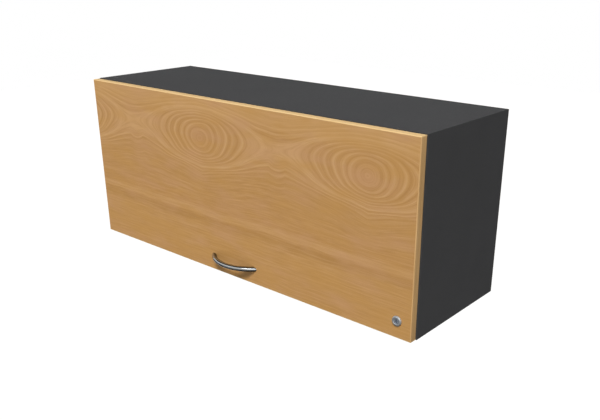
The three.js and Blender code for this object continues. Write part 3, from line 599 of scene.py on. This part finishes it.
def black_nylon(tree):
    """Black glass-filled nylon: matt, faintly speckled by the fibres at its skin."""
    return speckled(tree, "#171718", "#242425", 0.45, 0.62, 0.5, 0.14)


def grey_abs(tree):
    """Grey moulded plastic with the 0.4 mm spark finish of its mould."""
    return speckled(tree, "#86888a", "#949698", 0.48, 0.60, 0.4, 0.16)


def soft_clear_dot(tree):
    """Cast soft clear plastic: milky, lets some light through, slightly tacky surface."""
    made = speckled(tree, "#c3c7c4", "#d4d7d4", 0.25, 0.4, 1.1, 0.08, specular=0.5)
    made.update({"Transmission Weight": 0.35, "IOR": 1.49})
    return made


BEECH = finish_of(beech_melamine)
# The top and bottom tape is painted paler than the side tape, as painted light for the door's lit
# top edge.
PAINTED_LIGHT_EDGING = finish_of(beech_edging_painted_light)
UPRIGHT_EDGING = finish_of(beech_edging_upright)
CHARCOAL = finish_of(charcoal_melamine)
CHARCOAL_EDGING = finish_of(charcoal_edging)
FIBREBOARD = finish_of(lacquered_fibreboard)
CHROME = finish_of(polished_chrome)
CAST_CHROME = finish_of(cast_chrome)
PLUG_NICKEL = finish_of(plug_nickel)
PRESSED_NICKEL = finish_of(pressed_nickel)
ZINC = finish_of(zinc_plate)
HARD_CHROME = finish_of(hard_chrome)
POWDER_COAT = finish_of(black_powder_coat)
NYLON = finish_of(black_nylon)
GREY_ABS = finish_of(grey_abs)
CLEAR_DOT = finish_of(soft_clear_dot)

# -------- boards, which stay as they are

BOARD_FINISHES = {"back_panel": FIBREBOARD, "door_board": BEECH}
for board in ("left_side", "right_side", "top", "bottom"):
    BOARD_FINISHES[board + "_panel"] = CHARCOAL
    BOARD_FINISHES[board + "_front_edging"] = CHARCOAL_EDGING
for board, board_finish in BOARD_FINISHES.items():
    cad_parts[board].material_slots[0].material = board_finish

# -------- door edging


def edging_outline():
    """The tape's section as (across the door, out from the core): flat, with quarter-circle
    corners r (1 - cos t), r (1 - sin t) on both long sides."""
    t = np.linspace(0, np.pi / 2, 9)
    corner = np.stack(
        [EDGING_ROUND * (1 - np.cos(t)), EDGING - EDGING_ROUND * (1 - np.sin(t))], -1
    )
    level = np.linspace(EDGING_ROUND, DOOR_THICK - EDGING_ROUND, 6)
    flat = np.stack([level, np.full(6, EDGING)], -1)[1:-1]
    far = np.stack([DOOR_THICK - corner[::-1, 0], corner[::-1, 1]], -1)
    under = np.stack([np.linspace(DOOR_THICK, 0, 6), np.zeros(6)], -1)
    return np.vstack([corner, flat, far, under])


def edging_piece(name, span, base, way, upright, end_round):
    """The section carried along the door's edge. At an end the section draws in by
    e (1 - cos t) while the length grows by e sin t, so the tape's corner is rounded."""
    outline = edging_outline()
    t = np.linspace(0, np.pi / 2, 5)
    inset = end_round * (1 - np.cos(t))
    ends = end_round * (1 - np.sin(t))
    stations = np.linspace(span[0] + end_round, span[1] - end_round, 13)[1:-1]
    places = np.concatenate([(span[0] + ends)[::-1], stations, span[1] - ends])
    insets = np.concatenate([inset[::-1], np.zeros(len(stations)), inset])
    rows = np.empty((len(places), len(outline), 3))
    across = np.clip(outline[:, 0], insets[:, None], DOOR_THICK - insets[:, None])
    out = np.minimum(outline[:, 1], EDGING - insets[:, None])
    rows[..., 1] = DOOR_FRONT + across
    rows[..., 0 if upright else 2] = base + way * out
    rows[..., 2 if upright else 0] = places[:, None]
    first, last = rows[:1].mean(1, keepdims=True), rows[-1:].mean(1, keepdims=True)
    caps = [np.broadcast_to(point, rows[:1].shape) for point in (first, last)]
    loops = np.vstack([caps[0], rows, caps[1]])
    # The level tape's paler tone is painted light for the lit top edge.
    finish = UPRIGHT_EDGING if upright else PAINTED_LIGHT_EDGING
    new_piece(name + "_tape", [loops], finish, "door", (name,))


CORE_HALF = DOOR_HALF - EDGING
CORE_SPAN = (DOOR_BOTTOM + EDGING, DOOR_TOP - EDGING)
edging_piece("door_top_edging", (-DOOR_HALF, DOOR_HALF), CORE_SPAN[1], 1, False, 1.0)
edging_piece("door_bottom_edging", (-DOOR_HALF, DOOR_HALF), CORE_SPAN[0], -1, False, 1.0)
for side_name, side in SIDES:
    edging_piece(f"door_{side_name}_edging", CORE_SPAN, side * CORE_HALF, side, True, 0.02)

# -------- bow handle and its screws


def bow_handle():
    """A round bar on one arc. With rho = R + r cos p and q from -1 to 1 along the bar, a point is
    (rho sin(q e), centre - rho cos(q e), r sin p), where e(p) is the angle at which that line of
    the bar meets the door, so both feet are cut flush. Each foot is then tapped for its screw."""
    foot = DOOR_FRONT - 0.1
    p = round_loop(56)
    rho = HANDLE_BOW + HANDLE_BAR / 2 * np.cos(p)
    end = np.arccos((HANDLE_CENTRE - foot) / rho)
    turn = np.linspace(-1, 1, 121)[:, None] * end
    across, out = rho * np.sin(turn), HANDLE_CENTRE - rho * np.cos(turn)
    bar = np.stack([across, out, HANDLE_Z + HANDLE_BAR / 2 * np.sin(p) + 0 * turn], -1)
    radii = np.array([3.2, 2.2, 1.7, 1.7, 0.0])[:, None]
    levels = foot - np.array([0, 0, 0.5, HANDLE_TAPPED, HANDLE_TAPPED])[:, None] + 0 * p
    out, up = HANDLE_SCREW_X + radii * np.cos(p), HANDLE_Z + radii * np.sin(p)
    left, right = (np.stack([side * out, levels, up], -1) for _, side in SIDES)
    loops = np.vstack([left[::-1], bar, right])
    new_piece("bow_handle_bar", [loops], CHROME, "door", ("bow_handle",))


def screw(name, place, head, rise, shank, length, body, nodes=()):
    """A zinc-plated pan-head screw whose head rises along the place's third axis. Rows are
    (offset, share of the cross recess, level): recess, dome, rim, shank and point."""
    rows = [
        (0, 0, rise * 0.25), (0, 0.55, rise * 0.25), (0, 0.80, rise * 0.45),
        (0, 1.0, rise * 0.93), (0.12 * head, 1.0, rise * 0.9),
        *((k * head, 0, rise * (1 - 0.55 * k**2.5)) for k in (0.72, 0.84, 0.93)),
        (0.99 * head, 0, rise * 0.3), (head, 0, rise * 0.1), (head * 0.99, 0, 0),
        (shank, 0, 0), (shank, 0, -length + shank), (shank * 0.3, 0, -length), (0, 0, -length),
    ]
    angles = round_loop(64)
    recess = cross_reach(angles, head * 0.52, head * 0.13)
    loops = stacked(rows, place, [recess], angles)
    new_piece(name, [loops], ZINC, body, nodes)


bow_handle()
for side_name, side in SIDES:
    screw(
        f"{side_name}_handle_machine_screw", on_y(side * HANDLE_SCREW_X, DOOR_BACK, HANDLE_Z),
        4.0, 2.4, 2.0, 22.9, "door", (f"{side_name}_handle_screw",),
    )

# -------- door bumpers

for side_name, side in SIDES:
    dot = turned(
        [(0, 0), (4.9, 0), (5.0, 0.35), (4.6, 1.0), (3.4, 1.5), (1.8, 1.75), (0, 1.8)],
        on_y(side * BUMPER_X, DOOR_BACK, BUMPER_Z), 0.3, 40,
    )
    bumper_node = f"{side_name}_door_bumper"
    new_piece(f"{side_name}_bumper_dot", [dot], CLEAR_DOT, "door", (bumper_node,))

# -------- cam lock

ON_LOCK = on_y(LOCK_X, 0, LOCK_Z)


def lock_barrel():
    """A domed face ring and a threaded body in one turning. The thread is a run of grooves
    r = 9 - 0.45 (1 - |2 f - 1|), where f is the part of the 1 mm pitch already passed."""
    body, groove = 9.0, 0.45
    level = np.arange(-322.5, -294.9, 1 / 6)
    passed = np.mod(level, 1.0)
    thread = np.stack([body - groove * (1 - np.abs(2 * passed - 1)), level], -1)
    face = rounded(
        [
            (6.1, -315), (6.1, -326.6), (6.5, -327.15), (7.6, -327.35), (9.3, -327.2),
            (10.6, -326.4), (11.25, -325.2), (11.25, -324.1), (body, -324.1), (body, -322.6),
        ],
        0.35, 4,
    )
    rear = np.array([(body, -294.8), (8.6, -294.0), (6.1, -294.0)])
    profile = np.vstack([face, thread, rear])
    loops = stacked(profile, ON_LOCK, angles=round_loop(72))
    new_piece(
        "lock_barrel", [loops], CAST_CHROME, "door", ("lock_body",), ring=True
    )


def lock_plug():
    """The plug: a keyway sunk in a slightly dished face, then the barrel and the square that
    drives the cam. Rows are (offset, share of the keyway, share of the square, level)."""
    angles = round_loop(96)
    keyway = rectangle_reach(angles, 0.85, 3.8, power=7)
    square = rectangle_reach(angles, 3.2, 3.2, power=16)
    rear = CAM_FRONT - 0.1
    rows = [
        (0, 0.0, 0, PLUG_FACE + 13), (0, 0.98, 0, PLUG_FACE + 13), (0, 1, 0, PLUG_FACE + 0.6),
        (0.22, 1, 0, PLUG_FACE + 0.3), (4.6, 0.0, 0, PLUG_FACE + 0.22), (5.6, 0, 0, PLUG_FACE),
        (5.85, 0, 0, PLUG_FACE + 0.08), (6.0, 0, 0, PLUG_FACE + 0.35), (6.0, 0, 0, rear - 0.1),
        (5.9, 0, 0, rear), (0, 0, 1, rear), (0, 0, 1, CAM_REAR), (0, 0, 0, CAM_REAR),
    ]
    loops = stacked(rows, ON_LOCK, [keyway, square], angles)
    new_piece(
        "lock_plug_turning", [loops], PLUG_NICKEL, "lock_cylinder", ("lock_plug",)
    )


def lock_nut():
    """A hexagon nut: its reach is flat / cos of the angle from the nearest flat's middle, cut
    back near its faces by chamfers. Rows are (offset, share of the hexagon, share of it where
    the chamfer starts, share of it where the chamfer ends, level)."""
    angles = round_loop(144)
    corner, bore, front, rear = 12, 9.2, DOOR_BACK + 0.1, -301.0
    flat = corner * math.cos(math.pi / 6)
    hexagon = flat / np.cos(np.mod(angles + math.pi / 6, math.pi / 3) - math.pi / 6)
    starts, ends = np.minimum(hexagon, 11.3), np.minimum(hexagon, 10.7)
    rows = [
        (9.3, 0, 0, 0, front), (0, 0, 1, 0, front), (0, 1, 0, 0, -305.2), (0, 1, 0, 0, -302.0),
        (0, 0, 1, 0, -301.45), (0, 0, 0, 1, -301.05), (9.7, 0, 0, 0, rear),
        (bore, 0, 0, 0, -301.5), (bore, 0, 0, 0, -305.4),
    ]
    loops = stacked(rows, ON_LOCK, [hexagon, starts, ends], angles)
    new_piece("lock_hexagon_nut", [loops], ZINC, "door", ("lock_nut",), ring=True)


def lock_cam():
    """A flat cam: a hub circle and a round-ended tongue to the left, round a square hole.
    Rows are (offset, share of the outline, share of the hole, level)."""
    angles = round_loop(160)
    hub, hole_half = 8.0, 3.3
    outline = np.maximum(hub, bar_reach(angles, length=27, radius=7, heading=math.pi))
    hole = rectangle_reach(angles, hole_half, hole_half, power=16)
    rows = rounded(
        [(0, 0, 1, CAM_FRONT), (0, 1, 0, CAM_FRONT), (0, 1, 0, CAM_REAR), (0, 0, 1, CAM_REAR)],
        0.3, 3, ring=True,
    )
    loops = stacked(rows, ON_LOCK, [outline, hole], angles)
    new_piece(
        "lock_cam_plate", [loops], ZINC, "lock_cylinder", ("lock_cam",), ring=True
    )


lock_barrel()
lock_plug()
lock_nut()
lock_cam()
screw(
    "lock_cam_fixing_screw", on_y(LOCK_X, CAM_REAR + 0.1, LOCK_Z), 5.0, 2.7, 1.8, 7.0,
    "lock_cylinder", ("lock_cam_screw",),
)

# -------- concealed hinges


def hinge_cup(name, x):
    """A pressed cup whose flange spreads into two wings for its screws. The flange reaches the
    longer of the rim circle and a level round-ended bar 6 mm below the middle."""
    angles = round_loop(144)
    rim, drop, half_wing, half_height = CUP_RADIUS + 1.4, 6.0, 24.0, 5.0
    trial = np.linspace(rim, half_wing + half_height + 6, 400)[:, None]
    across, up = np.abs(trial * np.cos(angles)), trial * np.sin(angles) + drop
    inside = np.hypot(np.maximum(across - half_wing, 0), up) <= half_height
    wing = np.where(inside, trial, rim).max(0)
    inner = CUP_RADIUS - CUP_WALL
    rows = rounded(
        [
            (0, 0, CUP_FLOOR + CUP_WALL), (inner, 0, CUP_FLOOR + CUP_WALL),
            (inner, 0, FLANGE_FACE - 0.8), (inner + 0.8, 0, FLANGE_FACE), (0, 1, FLANGE_FACE),
            (0, 1, FLANGE_SEAT), (CUP_RADIUS, 0, FLANGE_SEAT), (CUP_RADIUS, 0, CUP_FLOOR),
            (0, 0, CUP_FLOOR),
        ],
        0.9, 4,
    )
    stacks = [stacked(rows, on_y(x, 0, CUP_Z), [wing], angles)]
    for (y, z), way in ((OUTER_CUP_AXLE, -1), (INNER_CUP_AXLE, 1)):
        far = math.sqrt((CUP_RADIUS - CUP_WALL / 2) ** 2 - (z - CUP_Z + AXLE_RADIUS) ** 2)
        profile = [(0, 0.2), (AXLE_RADIUS, 0.2), (AXLE_RADIUS, far), (0, far)]
        axle = turned(profile, on_x(0, 0, 0), 0.2, 24)
        axle[..., 0] = x + way * axle[..., 0]
        stacks.append(axle + np.array([0, y, z]))
    new_piece(
        f"{name}_hinge_cup_pressing", stacks, PRESSED_NICKEL, "door",
        (f"{name}_hinge_cup",),
    )
    for way_name, way in SIDES:
        head_place = on_y(x + way * half_wing, FLANGE_FACE, CUP_Z - drop)
        screw(f"{name}_hinge_cup_{way_name}_screw", head_place, 3.6, 1.4, 1.6, 14.0, "door")


def mounting_plate(name, x):
    """A cross-shaped plate: the longer of a fore-and-aft bar and a crossbar at each angle."""
    angles = round_loop(144)
    bar = rectangle_reach(angles, 8, 33, 23)
    crossbar = rectangle_reach(angles, 22, 7)
    outline = np.maximum(bar, crossbar)
    corners = [(0, 0, PLATE_LOW), (0, 1, PLATE_LOW), (0, 1, INNER_TOP), (0, 0, INNER_TOP)]
    rows = rounded(corners, 0.6, 3)
    loops = stacked(rows, on_z(x, PLATE_SCREW_Y, 0), [outline], angles)
    new_piece(
        f"{name}_hinge_cross_plate", [loops], PRESSED_NICKEL, "carcass",
        (f"{name}_hinge_mounting_plate",),
    )
    for way_name, way in SIDES:
        down = (np.array([x + way * PLATE_SCREW_X, PLATE_SCREW_Y, PLATE_LOW]), X, Y, -Z)
        screw(f"{name}_hinge_plate_{way_name}_screw", down, 4.0, 1.8, 1.7, 15.0, "carcass")


def hinge_pin(name, label, x, span, centre, radius):
    """A plain pin with softened ends."""
    profile = [(0, span[0]), (radius, span[0]), (radius, span[1]), (0, span[1])]
    loops = turned(profile, on_x(x, *centre), 0.3, 28)
    new_piece(
        f"{name}_hinge_{label}_rivet", [loops], ZINC, "carcass",
        (f"{name}_hinge_{label}_pin",),
    )


for side_name, side in SIDES:
    hinge_x = side * HINGE_X
    hinge_cup(side_name, hinge_x)
    mounting_plate(side_name, hinge_x)
    hinge_pin(side_name, "outer", hinge_x, (-9, 9), OUTER_ARM_PIN, 1.5)
    hinge_pin(side_name, "inner", hinge_x, (0.2, 9), INNER_ARM_PIN, 1.2)
    for part, part_body in (
        ("arm", "carcass"), ("outer_link", "outer_links"), ("inner_link", "inner_links"),
    ):
        softened_copy(
            f"{side_name}_hinge_{part}_pressing", f"{side_name}_hinge_{part}", PRESSED_NICKEL,
            part_body, 0.25,
        )

# -------- gas struts

STRUT_RUN = np.array([0, STRUT_HIGH[0] - STRUT_LOW[0], STRUT_HIGH[1] - STRUT_LOW[1]])
STRUT_LENGTH = float(np.linalg.norm(STRUT_RUN))
STRUT_ALONG = STRUT_RUN / STRUT_LENGTH
STRUT_ACROSS = np.cross(X, STRUT_ALONG)


def on_strut(side):
    """A place on the strut's carcass end whose third axis runs along the strut."""
    return np.array([side * STRUT_X, *STRUT_LOW]), X, STRUT_ACROSS, STRUT_ALONG


def strut(name, side):
    """A tube, a rod with its piston, and a socket at each end, all turned on the strut's line."""
    line = on_strut(side)
    tube = turned(
        [
            (0, TUBE_FOOT), (6.6, TUBE_FOOT), (TUBE_RADIUS, 17.2), (TUBE_RADIUS, 132),
            (6.95, 133.2), (TUBE_RADIUS, 134.4), (TUBE_RADIUS, 143), (6.6, 145.2),
            (4.6, TUBE_MOUTH), (3.2, TUBE_MOUTH), (3.2, 138), (TUBE_BORE, 138), (TUBE_BORE, 20),
            (0, 20),
        ],
        line, 0.6, 56, 4,
    )
    piston, shoulder, rod_end = 6.0, PISTON_BACK + PISTON_LONG, STRUT_LENGTH - 13.5
    rod = turned(
        [
            (0, PISTON_BACK), (piston, PISTON_BACK), (piston, shoulder), (ROD_RADIUS, shoulder),
            (ROD_RADIUS, rod_end), (0, rod_end),
        ],
        line, 0.3, 40,
    )
    barrel = turned(
        [(0, -5.5), (6.5, -5.5), (6.5, 5.5), (4.4, 5.5), (4.4, -4.3), (0, -4.3)],
        (line[0], STRUT_ACROSS, STRUT_ALONG, side * X), 0.8, 48, 4,
    )
    neck = turned(
        [(0, 5.0), (4.0, 5.0), (4.0, 11.5), (4.7, 12.2), (4.7, 15.7), (0, 15.7)], line, 0.4, 40
    )
    door_end = line[0] + STRUT_ALONG * STRUT_LENGTH
    cap = turned(
        [(0, -5.5), (6.5, -5.5), (6.5, 5.5), (0, 5.5)],
        (door_end, STRUT_ACROSS, STRUT_ALONG, side * X), 0.8, 48, 4,
    )
    collar = [(0, -13.2), (4.0, -13.2), (4.0, -9.5), (3.6, -9), (3.6, -2), (0, -2)]
    collar = turned([(r, STRUT_LENGTH + level) for r, level in collar], line, 0.4, 40)
    for label, stacks, finish, body, slot, node_end in (
        ("tube_body", (tube,), POWDER_COAT, "strut_tubes", "strut_black", "tube"),
        ("piston_rod", (rod,), HARD_CHROME, "strut_rods", "strut_rod", "rod"),
        ("lower_socket", (barrel, neck), NYLON, "strut_tubes", "strut_socket", "carcass_socket"),
        ("upper_socket", (cap, collar), NYLON, "strut_rods", "strut_socket", "door_socket"),
    ):
        strut_node = f"{name}_strut_{node_end}"
        new_piece(f"{name}_strut_{label}", stacks, finish, body, (strut_node,))


def strut_carcass_bracket(name, side):
    """A rounded plate on the side panel, and a ball on a waisted stud."""
    angles = round_loop(96)
    outline = rectangle_reach(angles, 9, 20, power=9)
    thick, ball_radius, ball_out = 2.5, 4, 14
    wall = (np.array([side * INNER_HALF, *STRUT_LOW]), Y, Z, -side * X)
    corners = [(0, 0, 0), (0, 1, 0), (0, 1, thick), (0, 0, thick)]
    plate = stacked(rounded(corners, 0.5, 3), wall, [outline], angles)
    stud = turned([(0, 1.5), (4.6, 1.5), (4.6, 3.4), (2.5, 4.2), (2.5, 10.5)], wall, 0.3, 48)
    t = np.linspace(math.pi - 0.72, 0, 18)
    ball = np.stack([ball_radius * np.sin(t), ball_out + ball_radius * np.cos(t)], -1)
    closed_stud = np.vstack([stud, stacked(ball, wall)])
    new_piece(
        f"{name}_strut_stud_plate", [plate, closed_stud], ZINC, "carcass",
        (f"{name}_strut_carcass_bracket",),
    )
    for label, z in (("upper", 14), ("lower", -14)):
        place = (wall[0] + np.array([-side * thick, 0, z]), Y, Z, -side * X)
        screw(f"{name}_strut_plate_{label}_screw", place, 3.5, 1.2, 1.6, 14.0, "carcass")


for side_name, side in SIDES:
    strut(side_name, side)
    strut_carcass_bracket(side_name, side)
    softened_copy(
        f"{side_name}_strut_door_stud_bracket", f"{side_name}_strut_door_bracket", ZINC, "door",
        0.3,
    )

# -------- hangers and strike plate

for side_name, _ in SIDES:
    for part, part_finish, part_slot, width in (
        ("body", ZINC, "zinc_steel", 0.4),
        ("hook", ZINC, "zinc_steel", 0.3),
        ("cover", GREY_ABS, "hanger_cover", 0.5),
    ):
        softened_copy(
            f"{side_name}_hanger_{part}_moulding", f"{side_name}_hanger_{part}", part_finish,
            "carcass", width,
        )
softened_copy("lock_strike_cover", "lock_strike_plate", ZINC, "carcass", 0.2)

# -------- camera

camera = in_scene("camera", bpy.data.cameras.new("camera"))
bpy.context.scene.camera = camera
camera.location = (1.178, -1.398, 0.329)
camera.rotation_euler = (math.radians(90 - 22.36), 0, math.radians(40.64))
camera.data.sensor_width = 36
camera.data.lens = 43.76
camera.data.shift_x = -0.0273
camera.data.shift_y = 0.08

# -------- floor, light and background

FLOOR_Z = -5.0
FILL = 0.26


def seen_directly(tree):
    """1 for a ray from the camera, and for one that a mirror or glass sends on; 0 for others."""
    ray = node(tree, "LightPath").node.outputs
    seen = node(tree, "Math", ray["Is Camera Ray"], ray["Is Glossy Ray"], operation="MAXIMUM")
    return node(tree, "Math", seen, ray["Is Transmission Ray"], operation="MAXIMUM")


def pale_floor(tree):
    """A pale matt studio floor. Where it is looked at it has a glow that takes it to white and
    leaves the cabinet's shadow; the light that it throws back up is weaker."""
    return {
        "Base Color": colour("#7d7d7c"),
        "Roughness": 0.9,
        "Specular IOR Level": 0.1,
        "Emission Color": (1, 1, 1, 1),
        "Emission Strength": node(tree, "Math", seen_directly(tree), 0.8, **TIMES),
    }


def black_card(tree):
    """Black studio card: almost no light comes back from it."""
    return {"Base Color": colour("#1d1e1e"), "Roughness": 0.9, "Specular IOR Level": 0.0}


def grey_card(tree):
    """Mid grey studio card, for the soft dark side of metal."""
    return {"Base Color": colour("#747574"), "Roughness": 0.9, "Specular IOR Level": 0.0}


def stage_sheet(name, corners, finish):
    """A flat four-cornered sheet of the studio, which is no part of the cabinet."""
    mesh = bpy.data.meshes.new(name)
    mesh.from_pydata(corners, [], [(0, 1, 2, 3)])
    mesh.materials.append(finish)
    sheet = in_scene(name, mesh)
    return sheet


def oblong(low, high, half):
    """An oblong's corners as (across, along): half to each side, and from low to high."""
    return (-half, low), (half, low), (half, high), (-half, high)


ROOM = oblong(-30, 30, 30)
PALE_FLOOR = finish_of(pale_floor)
stage_sheet("studio_floor", [(x, y, FLOOR_Z) for x, y in ROOM], PALE_FLOOR)

# Cards below, behind and above, seen only in gloss, which give chrome its dark bands on both
# sides of the white room in front.
BLACK, GREY = finish_of(black_card), finish_of(grey_card)
for card_name, card_finish, corners in (
    ("grey_card_below", GREY, [(x, y, -0.9) for x, y in oblong(-7, -0.85, 9)]),
    ("black_card_below", BLACK, [(x, y, -0.9) for x, y in oblong(-0.85, -0.1, 9)]),
    ("black_card_behind", BLACK, [(x, 2.5, z) for x, z in oblong(-3.0, 3.0, 9)]),
    ("black_card_above", BLACK, [(x, y, 3.0) for x, y in oblong(-3.0, 2.5, 9)]),
):
    card = stage_sheet(card_name, corners, card_finish)
    card.visible_camera = card.visible_diffuse = False
    card.visible_shadow = card.visible_transmission = False


def lamp(name, kind, energy, comes_from):
    """A lamp whose light comes from one direction."""
    made = in_scene(name, bpy.data.lights.new(name, kind))
    made.data.energy = energy
    made.rotation_euler = Vector(comes_from).to_track_quat("Z", "Y").to_euler()
    return made


# The key light is a pair from one direction: a firm one for the faces and their shadows, and a
# broader, weaker one that only gloss and metal see.
KEY_FROM = (0.60, -1.0, 1.52)
for lamp_name, energy, angle, in_gloss in (
    ("key_light", 3.6, 16, False), ("key_gloss", 1.9, 40, True),
):
    key = lamp(lamp_name, "SUN", energy, KEY_FROM)
    key.data.angle = math.radians(angle)
    key.visible_diffuse, key.visible_glossy = not in_gloss, in_gloss

# A weak broad lamp low in front reaches into the cabinet when the flap is up.
LOW_PLACE, LOW_AIM = Vector((-0.4, -3.2, -1.3)), Vector((0, -0.3, -0.16))
low = lamp("low_lamp", "AREA", 19, LOW_PLACE - LOW_AIM)
low.location = LOW_PLACE
low.data.shape = "SQUARE"
low.data.size = 3.0
low.visible_glossy = False

# A weak broad light from behind and from the left, for the faces turned away from the key.
lamp("rear_light", "SUN", 2.4, (-0.9, 1.0, -0.15)).data.angle = math.radians(30)

world = bpy.data.worlds.new("studio")
bpy.context.scene.world = world
world.use_nodes = True
sky = world.node_tree
glow = node(sky, "MapRange", seen_directly(sky), 0.0, 1.0, FILL, 1.0)
backdrop = next(n for n in sky.nodes if n.type == "BACKGROUND")
backdrop.inputs["Color"].default_value = (1, 1, 1, 1)
sky.links.new(glow, backdrop.inputs["Strength"])

bpy.context.scene.view_settings.view_transform = "Standard"
